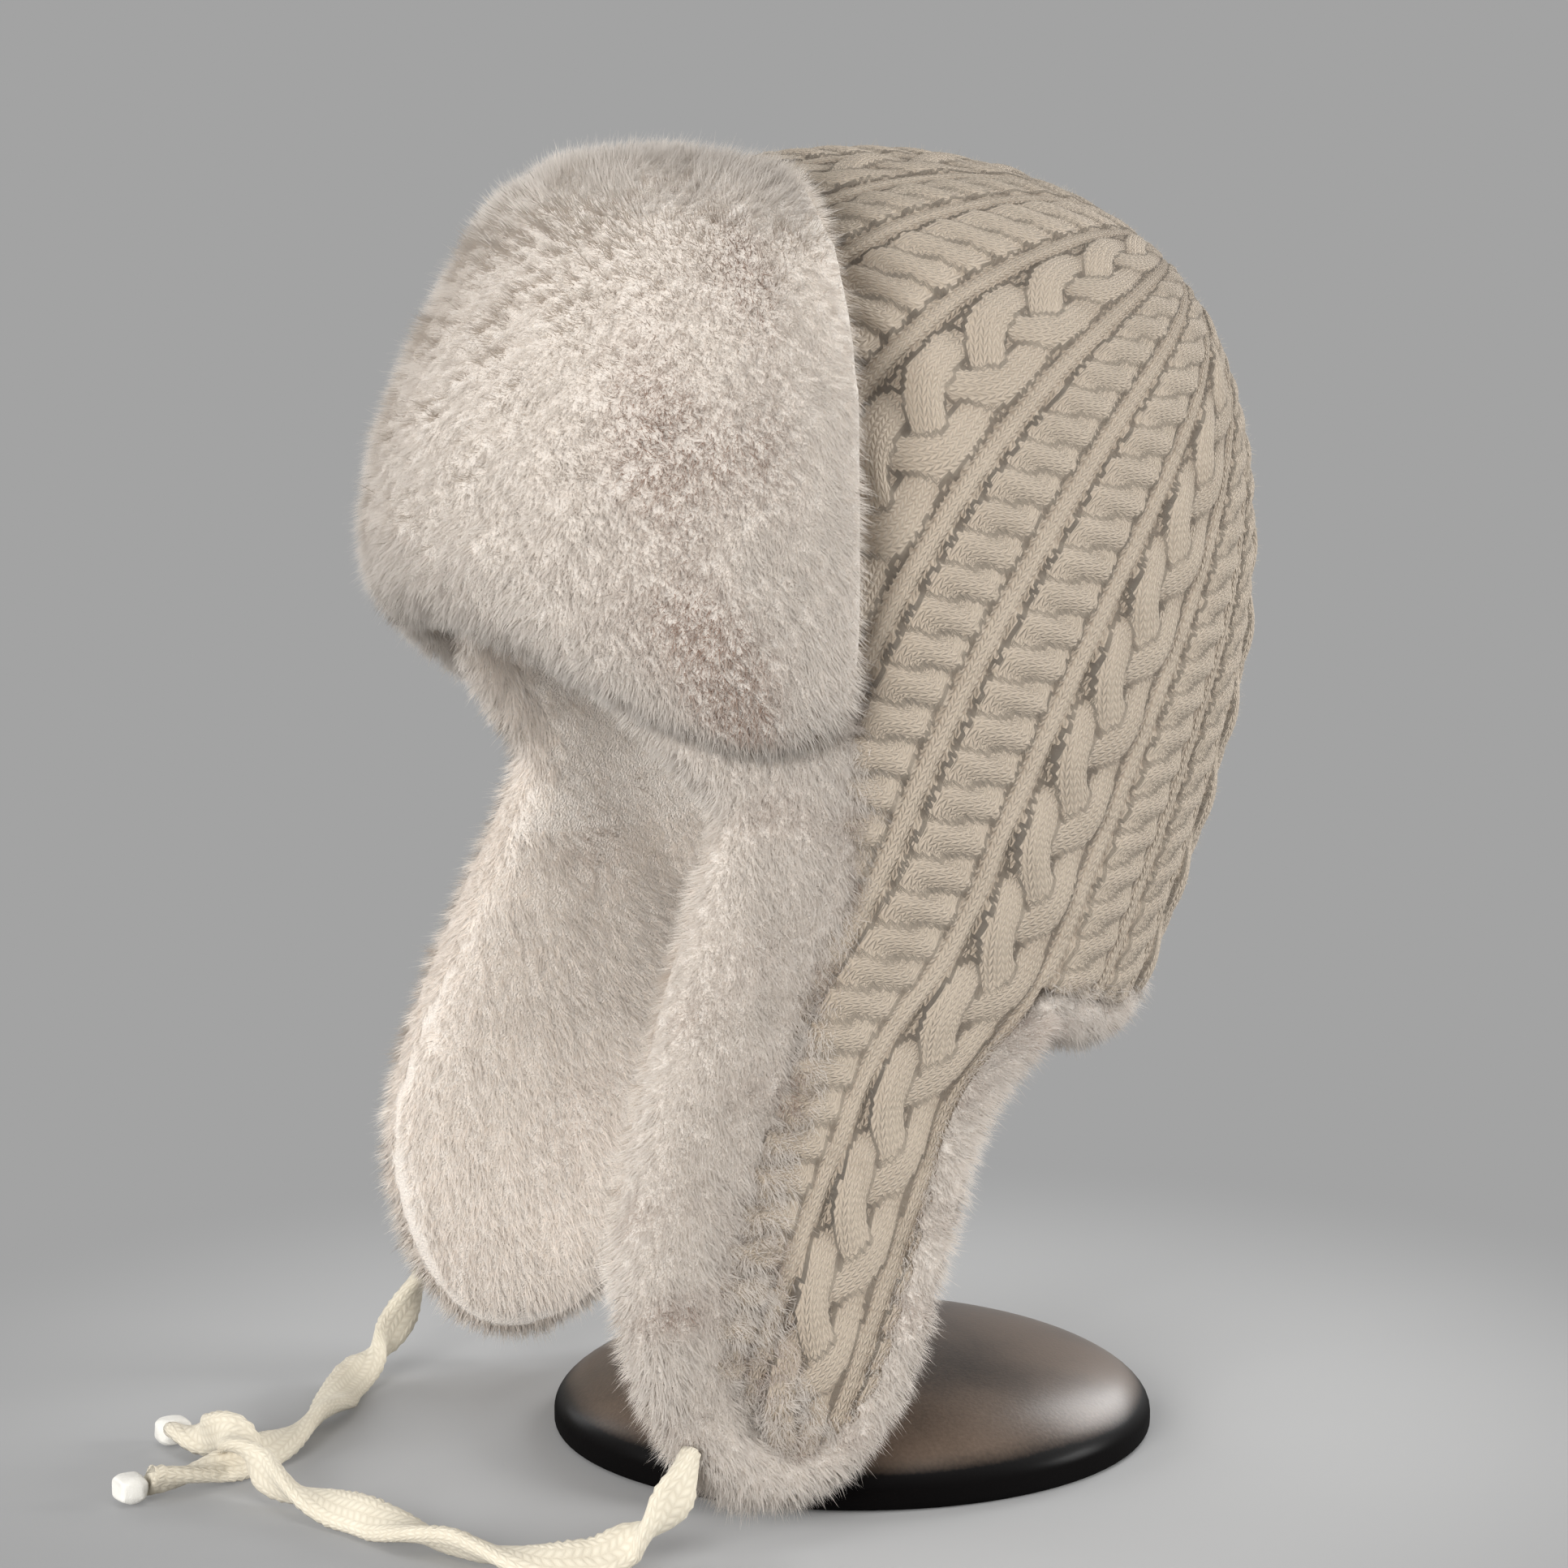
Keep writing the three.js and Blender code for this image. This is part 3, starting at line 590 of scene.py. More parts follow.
def grid(points: Array) -> Mesh:
    """A grid bmesh laid on rows of points given in millimetres."""
    bm = bmesh.new()
    bmesh.ops.create_grid(bm, x_segments=points.shape[1] - 1, y_segments=points.shape[0] - 1, size=1.0)
    place_vertices(bm, points)
    return bm


def close(bm: Mesh) -> Mesh:
    """Merges a rolled grid's seam, closes its ends and turns its faces outwards."""
    bmesh.ops.remove_doubles(bm, verts=bm.verts[:], dist=1e-7)
    bmesh.ops.holes_fill(bm, edges=[e for e in bm.edges if e.is_boundary], sides=0)
    bmesh.ops.recalc_face_normals(bm, faces=bm.faces[:])
    return bm


def list_by_place(parts: object, made: list, place: Callable) -> None:
    """Lists what an extrusion made by its place, since the operator's own order varies from run to run.

    Args:
        parts: The vertices or faces of a bmesh.
        made: The new ones among them, which keep their share of the list.
        place: Gives the coordinates of one.
    """
    number = {part: index for index, part in enumerate(parts)}
    share = sorted(number[part] for part in made)
    number.update(zip(sorted(made, key=place), share))
    parts.sort(key=number.get)


def absorb(whole: Mesh, part: Mesh) -> None:
    """Adds a bmesh to another one and frees it."""
    mesh = bpy.data.meshes.new("part")
    part.to_mesh(mesh)
    part.free()
    whole.from_mesh(mesh)
    bpy.data.meshes.remove(mesh)


def soften(bm: Mesh, verts: list, factor: float, rounds: int) -> None:
    """Smooths some vertices of a bmesh, round after round."""
    for _ in range(rounds):
        bmesh.ops.smooth_vert(bm, verts=verts, factor=factor, use_axis_x=True, use_axis_y=True, use_axis_z=True)


def place_vertices(bm: Mesh, points: Array) -> None:
    """Puts the vertices of a bmesh at points given in millimetres."""
    for vertex, point in zip(bm.verts, (points.reshape(-1, 3) * MM).tolist()):
        vertex.co = point


def settle(piece: Piece, slot: str, material: Material, *nodes: str) -> Piece:
    """Gives a finished piece its material and body, and hides the nodes that it replaces.

    Args:
        piece: The piece.
        slot: The record's material slot; not used.
        material: The material.
        nodes: The nodes that it replaces.

    Returns:
        The piece.
    """
    piece.data.materials.clear()
    piece.data.materials.append(material)
    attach(piece, BODY)
    if nodes:
        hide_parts(*nodes)
    LOG.info("%s: %d faces", piece.name, len(piece.data.polygons))
    return piece


def catmull_path(points: Array, spacing: float) -> Array:
    """Evenly spaced points on a centripetal Catmull-Rom curve.

    Args:
        points: The points it passes.
        spacing: The distance between results.

    Returns:
        The points along the curve.
    """
    ends = np.vstack([2 * points[0] - points[1], points, 2 * points[-1] - points[-2]])
    dense = []
    for i in range(1, len(ends) - 2):
        level = list(ends[i - 1:i + 3])
        knots = np.concatenate([[0], np.cumsum(np.sqrt(np.linalg.norm(np.diff(level, axis=0), axis=1)))])
        t = np.linspace(knots[1], knots[2], 40, endpoint=False)[:, None]
        for spans in (((0, 1), (1, 2), (2, 3)), ((0, 2), (1, 3)), ((1, 2),)):
            level = [
                ((knots[high] - t) * level[j] + (t - knots[low]) * level[j + 1]) / (knots[high] - knots[low])
                for j, (low, high) in enumerate(spans)
            ]
        dense.append(level[0])
    curve = np.vstack([*dense, points[-1:]])
    run = np.concatenate([[0], np.cumsum(np.linalg.norm(np.diff(curve, axis=0), axis=1))])
    at = np.linspace(0, run[-1], max(2, round(run[-1] / spacing) + 1))
    return np.stack([np.interp(at, run, curve[:, k]) for k in range(3)], 1)


# ---------------------------------------------------------------- knit


@dataclass(frozen=True)
class Strands:
    """Strands of yarn that cross each other along a cable.

    Lengths are in millimetres: amplitude and radius across the cable, period
    along it, over the rise of a strand where it crosses on top, and dome the
    height of its round back. Snap makes the crossings steeper, and hook lifts
    the strands that run one way.
    """

    count: int
    amplitude: float
    period: float
    radius: float
    over: float
    dome: float
    shear: float = 0.0
    snap: float = 0.0
    hook: float = 0.0
    plaited: bool = False

    def height(self, x: Array, s: Array) -> tuple[Array, Array, Array]:
        """The relief and the stitch coordinates of the topmost strand.

        Args:
            x: Across the cable, from its middle.
            s: Along the cable.

        Returns:
            The height, the place across the strand and the place along it.
        """
        best = np.full(x.shape, -1e9)
        across = np.zeros(x.shape)
        along = np.zeros(x.shape)
        s = s + self.shear * x
        turn = 2 * math.pi / self.period
        for k in range(self.count):
            theta = turn * s + 2 * math.pi * k / self.count
            phase = theta + self.snap * np.sin(2 * theta)
            slope = self.amplitude * turn * np.cos(phase) * (1 + 2 * self.snap * np.cos(2 * theta))
            cosine = 1 / np.sqrt(1 + slope**2)
            away = x - self.amplitude * np.sin(phase)
            d = away * cosine
            rise = np.sin(2 * theta) - self.hook * np.cos(theta) if self.plaited else np.cos(theta)
            back = self.dome * np.sqrt(np.maximum(1 - (d / self.radius) ** 2, 0)) + self.over * rise
            back = np.where(np.abs(d) < self.radius, back, -1e9)
            win = back > best
            best = np.where(win, back, best)
            across = np.where(win, d, across)
            along = np.where(win, s * 1.12 + away * slope * cosine * cosine, along)
        return best, across, along


@dataclass(frozen=True)
class KnitPattern:
    """The cable pattern of the hat: panels between ribs, by wale angle."""

    ribs: tuple = (0.0, 14.0, 29.5, 41.0, 57.5, 76.5, 89.5, 102.9, 119.2, 132.1, 145.0, 162.5, 180.0)
    kinds: tuple = (
        Stitch.ROPE, Stitch.PLAIT, Stitch.ROPE, Stitch.ROPE, Stitch.PLAIT, Stitch.ROPE,
        Stitch.ROPE, Stitch.PLAIT, Stitch.ROPE, Stitch.ROPE, Stitch.PLAIT, Stitch.ROPE,
    )
    phases: tuple = (0.0, 10.0, 3.0, 8.0, 34.0, 2.0, 9.0, 39.4, 5.0, 0.0, 12.0, 6.0)
    mm_per_degree: float = 1.9
    column_pitch: float = 1.25
    rib_columns: int = 6
    rib_half: float = 3.6
    groove_at: float = 2.75
    rung_pitch: float = 3.2
    ladder: float = 1.75
    rung_height: float = 0.3
    hole_depth: float = 0.9
    groove_depth: float = 0.8
    groove_wide: float = 0.85
    edge_wide: float = 1.5
    stitch_wide: float = 2.2
    stitch_tall: float = 2.0
    floor: float = 0.5
    rope: Strands = Strands(2, 4.9, 25.4, 5.9, 1.1, 2.4)
    plait: Strands = Strands(3, 8.0, 76.5, 5.5, 1.5, 2.1, 0.05, 0.22, 0.45, True)

    def cable_run(self, kind: Stitch, s: Array) -> Array:
        """Length along a cable in the units of its own period.

        Args:
            kind: The cable's stitch.
            s: Lengths from the hem upwards.

        Returns:
            The lengths, stretched as the cable is worked looser or tighter.
        """
        at = np.array([-200.0, -20.0, 20.0, 130.0, 180.0, 320.0])
        rate = np.array([1.21, 1.21, 1.21, 1.21, 1.02, 1.02])
        if kind is Stitch.PLAIT:
            rate = np.array([0.88, 0.9, 0.98, 0.98, 1.03, 1.03])
        fine = np.linspace(at[0], at[-1], 521)
        run = np.concatenate([[0], np.cumsum(np.interp((fine[1:] + fine[:-1]) / 2, at, rate) * np.diff(fine))])
        run -= np.interp(0.0, fine, run)
        return np.interp(s, fine, run)

    def relief(self, wale: Array, s: Array) -> tuple[Array, Array, Array]:
        """Height of the knit over its ground.

        Args:
            wale: Wale angles in degrees, from 0 to 180.
            s: Lengths along the wale from the hem upwards in millimetres.

        Returns:
            The height in millimetres, and the stitch coordinates.
        """
        height = np.zeros(wale.shape)
        across = np.zeros(wale.shape)
        along = s.copy()
        for low, high, kind, phase in zip(self.ribs, self.ribs[1:], self.kinds, self.phases):
            own = (wale >= low) & (wale <= high)
            x = (wale[own] - (low + high) / 2) * self.mm_per_degree
            room = (high - low) / 2 * self.mm_per_degree - self.rib_half + 0.7
            strands = self.plait if kind is Stitch.PLAIT else self.rope
            spread = room / (strands.amplitude + strands.radius)
            top, u, v = strands.height(x / spread, self.cable_run(kind, s[own]) + phase)
            purl = self.floor + 0.15 * np.cos(2 * math.pi * s[own] / self.stitch_tall)
            top = top + self.floor * 0.6
            height[own] = np.maximum(top, purl)
            across[own] = np.where(top > purl, u, x)
            along[own] = np.where(top > purl, v, s[own])
        edges = np.array(self.ribs)
        near = edges[np.argmin(np.abs(wale[..., None] - edges), axis=-1)]
        x = (wale - near) * self.mm_per_degree
        rib = np.abs(x) < self.rib_half
        turn = 2 * math.pi * s / self.rung_pitch
        hole = (0.5 + 0.5 * np.cos(turn)) ** 1.3
        dent = np.exp(-(((np.abs(x) - self.groove_at) / self.groove_wide) ** 2))
        dent *= self.hole_depth * hole + self.groove_depth
        ladder = self.ladder - self.rung_height * np.cos(turn) - dent
        edge = np.clip((self.rib_half - np.abs(x)) / self.edge_wide, 0, 1)
        edge = edge * edge * (3 - 2 * edge)
        height = np.where(rib, height * (1 - edge) + ladder * edge, height)
        across = np.where(rib, x, across)
        along = np.where(rib, s, along)
        return height, across / self.stitch_wide, along / self.stitch_tall

    def columns(self) -> Array:
        """Wale angles of the mesh's columns, finer in the ribs."""
        rib = self.rib_half / self.mm_per_degree
        steps = []
        for low, high in zip(self.ribs, self.ribs[1:]):
            inner = round((high - low - 2 * rib) * self.mm_per_degree / self.column_pitch)
            for start, stop, count in ((low, low + rib, self.rib_columns), (low + rib, high - rib, inner),
                                       (high - rib, high, self.rib_columns)):
                steps.append(np.linspace(start, stop, count)[:-1])
        return np.append(np.concatenate(steps), self.ribs[-1])


@dataclass
class KnitCrown:
    """The cable knit of crown and flaps, in a left and a right half."""

    pattern: KnitPattern = KnitPattern()
    panel: Panel = Panel(75 * DEG, 110 * DEG, 11.4, 12.85)
    row_pitch: float = 1.0
    wall: float = 3.2
    base_height: float = 0.2
    spots: Array | None = None

    def run_table(self, wales: Array, rows: Array) -> Array:
        """Lengths along each wale, 0 at the hem and growing upwards.

        Args:
            wales: Wale angles in radians.
            rows: Rows from the apex down.

        Returns:
            Lengths in millimetres, one line per row.
        """
        w, r = np.meshgrid(wales, rows)
        points = FORM.ground(FORM.angle_of(w, r), r)
        steps = np.linalg.norm(np.diff(points, axis=0), axis=2)
        run = np.vstack([np.zeros(len(wales)), np.cumsum(steps, axis=0)])
        hem = np.array([np.interp(FORM.hem_row, rows, run[:, i]) for i in range(len(wales))])
        return hem - run

    def heights(self, angle: Array, row: Array) -> tuple[Array, Array, Array]:
        """Height and stitch coordinates at places of the left half.

        Args:
            angle: Angles in radians.
            row: Rows.

        Returns:
            The height over the ground and the stitch coordinates.
        """
        wales = np.linspace(0, math.pi, 181)
        rows = np.linspace(0, 13.6, 274)
        table = self.run_table(wales, rows)
        wale = np.clip(FORM.wale_of(angle, row), 0, math.pi)
        i = np.clip(wale / wales[1], 0, len(wales) - 1.001)
        j = np.clip(row / rows[1], 0, len(rows) - 1.001)
        i0, j0 = i.astype(int), j.astype(int)
        fi, fj = i - i0, j - j0
        s = (table[j0, i0] * (1 - fi) * (1 - fj) + table[j0, i0 + 1] * fi * (1 - fj)
             + table[j0 + 1, i0] * (1 - fi) * fj + table[j0 + 1, i0 + 1] * fi * fj)
        height, u, v = self.pattern.relief(np.degrees(wale), s)
        step = 0.01
        wide = np.linalg.norm(FORM.ground(angle + step, row) - FORM.ground(angle - step, row), axis=-1)
        share = np.clip(wide / (2 * step) * DEG / self.pattern.mm_per_degree, 0.12, 1.05)
        return self.base_height + height * share**0.8, u, v

    def crown_rows(self) -> Array:
        """Rows of the mesh from the apex to the hem, evenly spaced at the side."""
        rows = np.linspace(0, FORM.hem_row, 800)
        points = FORM.ground(FORM.angle_of(np.full(len(rows), math.pi / 2), rows), rows)
        run = np.concatenate([[0], np.cumsum(np.linalg.norm(np.diff(points, axis=0), axis=1))])
        return np.interp(np.linspace(0, run[-1], round(run[-1] / self.row_pitch) + 1), run, rows)

    def places(self) -> tuple[list, list]:
        """Angles and rows of the crown's and the flap's grids of the left half.

        Returns:
            The two arrays of angles and the two arrays of rows.
        """
        rows = self.crown_rows()
        wales = self.pattern.columns() * DEG
        hem = np.full(2, float(FORM.hem_row))
        edges = FORM.wale_of(np.array([self.panel.front, self.panel.rear]), hem)
        for edge in edges:
            wales[np.argmin(np.abs(wales - edge))] = edge
        w, r = np.meshgrid(wales, rows)
        crown = FORM.angle_of(w, r)
        crown[0] = w[0]
        bottom = crown[-1]
        slack = 1e-6
        inside = bottom[(bottom > self.panel.front - slack) & (bottom < self.panel.rear + slack)]
        rear, front = math.cos(self.panel.rear), math.cos(self.panel.front)
        across = np.clip(2 * (np.cos(inside) - rear) / (front - rear) - 1, -1, 1)
        a, d = np.meshgrid(across, np.concatenate([np.linspace(0, 1, 88)[:-1], np.linspace(1, 2, 42)]))
        flap_angle, flap_row = self.panel.place(a, d)
        flap_angle[0] = inside
        return [crown, flap_angle], [r, flap_row]

    def half(self, side: Side, material: Material) -> Piece:
        """Builds one half.

        Args:
            side: Which half.
            material: The knit's material.

        Returns:
            The piece.
        """
        whole = bmesh.new()
        whole.loops.layers.uv.new(UV_MAP)
        angles, rows = self.places()
        stored: list[Array] = []
        for angle, row in zip(angles, rows):
            height, _, _ = self.heights(angle, row)
            if angle is angles[0]:
                height[0] = height[1].mean()
            points = FORM.ground(angle, row) + FORM.normal(angle, row) * height[..., None]
            if angle is angles[0]:
                points[0] = points[0].mean(axis=0)
                points[:, 0, 0] = 0
                points[:, -1, 0] = 0
            stored.append(np.stack([angle, row, height], -1).reshape(-1, 3))
            absorb(whole, grid(points * (side.value, 1, 1)))
        whole.verts.index_update()
        keep = whole.verts.layers.float_vector.new(PLACE)
        for vertex, values in zip(whole.verts, np.vstack(stored).tolist()):
            vertex[keep] = values
        bmesh.ops.remove_doubles(whole, verts=whole.verts[:], dist=2e-6)
        bmesh.ops.recalc_face_normals(whole, faces=whole.faces[:])
        whole.faces.ensure_lookup_table()
        probe = whole.faces[len(whole.faces) // 2]
        if probe.normal.x * side.value < 0:
            bmesh.ops.reverse_faces(whole, faces=whole.faces[:])
        self.turn_edge_in(whole, keep, side)
        inner = [v for v in whole.verts if not v.is_boundary and abs(v.co.x) > 1e-5]
        soften(whole, inner, 0.45, 3)
        piece = to_object(f"knit_{side.word}", whole)
        self.write_stitches(piece)
        return settle(piece, KNIT.slot, material, "knit_shell")

    def turn_edge_in(self, bm: Mesh, keep: bmesh.types.BMLayerItem, side: Side) -> None:
        """Turns the knit's free edge in to the thickness of its wall.

        Args:
            bm: The half's bmesh.
            keep: The layer that holds angle, row and height.
            side: Which half.
        """
        rim = [e for e in bm.edges if e.is_boundary and max(abs(v.co.x) for v in e.verts) > 1e-5]
        out = bmesh.ops.extrude_edge_only(bm, edges=rim)
        new = [g for g in out["geom"] if isinstance(g, bmesh.types.BMVert)]
        values = np.array([v[keep][:] for v in new])
        normal = FORM.normal(values[:, 0], values[:, 1]) * (side.value, 1, 1)
        for vertex, n, h in zip(new, normal, values[:, 2]):
            vertex.co = vertex.co - Vector((n * (self.wall + h) * MM).tolist())
        strip = [g for g in out["geom"] if isinstance(g, bmesh.types.BMFace)]
        list_by_place(bm.verts, new, lambda vertex: vertex.co[:])
        list_by_place(bm.faces, strip, lambda face: face.calc_center_median()[:])

    def write_stitches(self, piece: Piece) -> None:
        """Writes the stitch coordinates as UV and the painted shade of the hollows as an attribute.

        Args:
            piece: The half.
        """
        mesh = piece.data
        place = read(mesh.attributes[PLACE].data, "vector", 3)
        # Painted shade: the lower the knit stands over its ground, the darker its colour.
        hollow_shade = 0.45 + 0.55 * ease(place[:, 2], 0, 1.9)
        mesh.attributes.new(HOLLOW_SHADE, "FLOAT", "POINT").data.foreach_set("value", hollow_shade.astype(np.float32))
        corner = read(mesh.loops, "vertex_index", 1, np.int32)[:, 0]
        _, u, v = self.heights(place[:, 0], place[:, 1])
        flat = np.stack([u[corner], v[corner]], 1).astype(np.float32)
        mesh.uv_layers[UV_MAP].data.foreach_set("uv", flat.ravel())
        mesh.attributes.remove(mesh.attributes[PLACE])
        self.spots = place

    def build(self, material: Material, lint: Material) -> dict:
        """Builds both halves with their lint.

        Args:
            material: The knit's material.
            lint: The material of the loose fibres on it.

        Returns:
            The ground and the places of the halves, by side.
        """
        made = {}
        for side in Side:
            ground = Ground.of(self.half(side, material))
            grow_pile(f"knit_lint_{side.word}", ground, LINT_PILE.of(side), (LINT.slot, lint),
                      np.ones(len(ground.triangles)), flow(0.0, 0.0, -1.0), flow_none)
            made[side] = ground, self.spots
        return made


# ---------------------------------------------------------------- fur


@dataclass(frozen=True)
class Pile:
    """Fibres of a fur piece, with lengths in millimetres."""

    count: int
    length: float
    width: float
    lean: float
    clump: float
    spread: float
    seed: int

    def of(self, side: Side) -> "Pile":
        """The same pile with its side's own chances."""
        return replace(self, seed=self.seed + side.value)


BRIM_PILE = Pile(178000, 5.4, 0.28, 0.75, 0.2, 0.24, 11)
EDGING_PILE = Pile(66000, 5.6, 0.27, 0.8, 0.22, 0.25, 21)
NAPE_PILE = Pile(15000, 5.0, 0.27, 0.7, 0.2, 0.25, 31)
LINING_PILE = Pile(76000, 5.4, 0.3, 0.8, 0.2, 0.22, 41)
HAZE_PILE = Pile(22000, 5.2, 0.27, 0.7, 0.25, 0.3, 51)
LINT_PILE = Pile(20000, 2.2, 0.13, 0.5, 0.5, 0.7, 61)
GUARD_SHARE, GUARD_LENGTH = 0.1, 1.45
FOOT_DEPTH = 0.6
LOWEST_TIP = 0.6


@dataclass
class Ground:
    """What fibres stand on: vertices in millimetres, triangles and vertex normals."""

    points: Array
    triangles: Array
    normals: Array

    @classmethod
    def of(cls, piece: Piece) -> "Ground":
        """Reads a piece's mesh.

        Args:
            piece: The piece.

        Returns:
            Its ground.
        """
        mesh = piece.data
        mesh.calc_loop_triangles()
        triangles = read(mesh.loop_triangles, "vertices", 3, np.int32)
        return cls(read(mesh.vertices, "co", 3) / MM, triangles, read(mesh.vertices, "normal", 3))

    def corners(self) -> tuple[Array, Array, Array]:
        """The three corners of every triangle."""
        return tuple(self.points[self.triangles[:, k]] for k in range(3))

    def middles(self) -> tuple[Array, Array]:
        """Middles and facings of the triangles."""
        a, b, c = self.corners()
        return (a + b + c) / 3, unit(np.cross(b - a, c - a))


def flow(*vector: float) -> Field:
    """A nap that lies the same way everywhere."""
    return lambda p, n: np.tile(vector, (len(p), 1))


def flow_none(p: Array, n: Array) -> Array:
    """A pile that is nowhere ruffled."""
    return np.zeros(len(p))


def patches(level: float, depth: float, wavelength: float, seed: int) -> Field:
    """A ruffle that comes and goes in soft patches."""
    return lambda p, n: level + depth * drift(p, wavelength, seed)[:, 0]


def grow_pile(
    name: str,
    ground: Ground,
    pile: Pile,
    finish: tuple[str, Material],
    share: Array,
    nap: Field,
    ruffle: Field,
    painted_light: Field = flow_none,
) -> Piece:
    """Grows leaning fibres on a ground, as one joined mesh of slim blades.

    Args:
        name: The piece's name.
        ground: What the fibres stand on.
        pile: Their number and size.
        finish: The slot and the material of the fibres.
        share: Density per triangle, 0 where nothing grows.
        nap: The way the pile lies, from points and normals.
        ruffle: From points and normals, 1 where the pile is disturbed.
        painted_light: From points and normals, 1 where the fibres are painted lightest, as painted light.

    Returns:
        The fibres.
    """
    rng = np.random.default_rng(pile.seed)
    a, b, c = ground.corners()
    odds = np.linalg.norm(np.cross(b - a, c - a), axis=1) / 2 * np.clip(share, 0, None)
    chosen = ground.triangles[rng.choice(len(odds), pile.count, p=odds / odds.sum())]
    r1, r2 = np.sqrt(rng.random(pile.count)), rng.random(pile.count)
    mix = np.stack([1 - r1, r1 * (1 - r2), r1 * r2], 1)[..., None]
    root = (ground.points[chosen] * mix).sum(1)
    normal = unit((ground.normals[chosen] * mix).sum(1))
    lay = nap(root, normal)
    lay = lay - normal * (lay * normal).sum(1, keepdims=True)
    mess = np.clip(ruffle(root, normal) * rng.uniform(0.55, 1.3, pile.count), 0, 1)[:, None]
    sway = (drift(root, 5.0, pile.seed + 1) + drift(root, 22.0, pile.seed + 2) * 0.7) * pile.clump
    stray = rng.normal(size=(pile.count, 3)) * (pile.spread * (1 + mess))
    direction = unit(normal + lay * pile.lean * (1 - 0.5 * mess) + sway + stray)
    under = (direction * normal).sum(1, keepdims=True)
    direction = unit(direction + normal * np.clip(0.25 - under, 0, None))
    guard = np.where(rng.random(pile.count) < GUARD_SHARE, GUARD_LENGTH, 1.0)
    length = pile.length * rng.uniform(0.7, 1.1, pile.count) * (1 - 0.15 * mess[:, 0]) * guard
    tip = root + direction * length[:, None]
    tip[:, 2] = np.maximum(tip[:, 2], LOWEST_TIP)
    flank = unit(np.cross(direction, normal + stray * 0.8))
    half = flank * (pile.width * rng.uniform(0.7, 1.3, (pile.count, 1)) / 2)
    foot = root - normal * FOOT_DEPTH
    corners = np.stack([foot - half, foot + half, tip], 1)
    flat = np.cross(corners[:, 1] - corners[:, 0], corners[:, 2] - corners[:, 0])
    turned = (flat * normal).sum(1) < 0
    corners[turned] = corners[turned][:, [1, 0, 2]]
    flat[turned] *= -1
    mesh = bpy.data.meshes.new(name)
    order = np.arange(pile.count * 3, dtype=np.int32)
    mesh.vertices.add(len(order))
    mesh.vertices.foreach_set("co", (corners * MM).ravel())
    mesh.loops.add(len(order))
    mesh.loops.foreach_set("vertex_index", order)
    mesh.polygons.add(pile.count)
    mesh.polygons.foreach_set("loop_start", order[::3].copy())
    mesh.update(calc_edges=True)
    mesh.polygons.foreach_set("use_smooth", np.ones(pile.count, bool))
    told = np.ones((pile.count, 3, 4), np.float32)
    told[:, :2, 0] = 0
    # Lightness: half random tone, half painted light.
    told[:, :, 1] = (rng.random(pile.count) + np.clip(painted_light(root, normal), 0, 1))[:, None] / 2
    told[:, :, 2] = mess
    layer = mesh.color_attributes.new(FIBRE, "BYTE_COLOR", "POINT")
    layer.data.foreach_set("color_srgb", told.ravel())
    soft = unit(unit(flat) * 0.35 + normal)
    mesh.normals_split_custom_set_from_vertices(np.repeat(soft, 3, axis=0).tolist())
    return settle(linked(name, mesh), *finish)


def remeshed(rough: Piece, voxel: float, rounds: int, inset: float) -> Mesh:
    """Fuses and rounds a rough shape.

    Args:
        rough: The shape, which is removed.
        voxel: The remesh size in millimetres.
        rounds: How many times it is smoothed.
        inset: How far it is drawn in, to leave room for the pile.

    Returns:
        The bmesh.
    """
    remesh = rough.modifiers.new("remesh", "REMESH")
    remesh.mode = "VOXEL"
    remesh.voxel_size = voxel * MM
    shape = rough.evaluated_get(bpy.context.evaluated_depsgraph_get())
    bm = bmesh.new()
    bm.from_mesh(shape.to_mesh())
    bpy.data.objects.remove(rough)
    soften(bm, bm.verts[:], 0.5, rounds)
    bm.normal_update()
    for vertex in bm.verts:
        vertex.co -= vertex.normal * (inset * MM)
    soften(bm, bm.verts[:], 0.5, 2)
    return bm


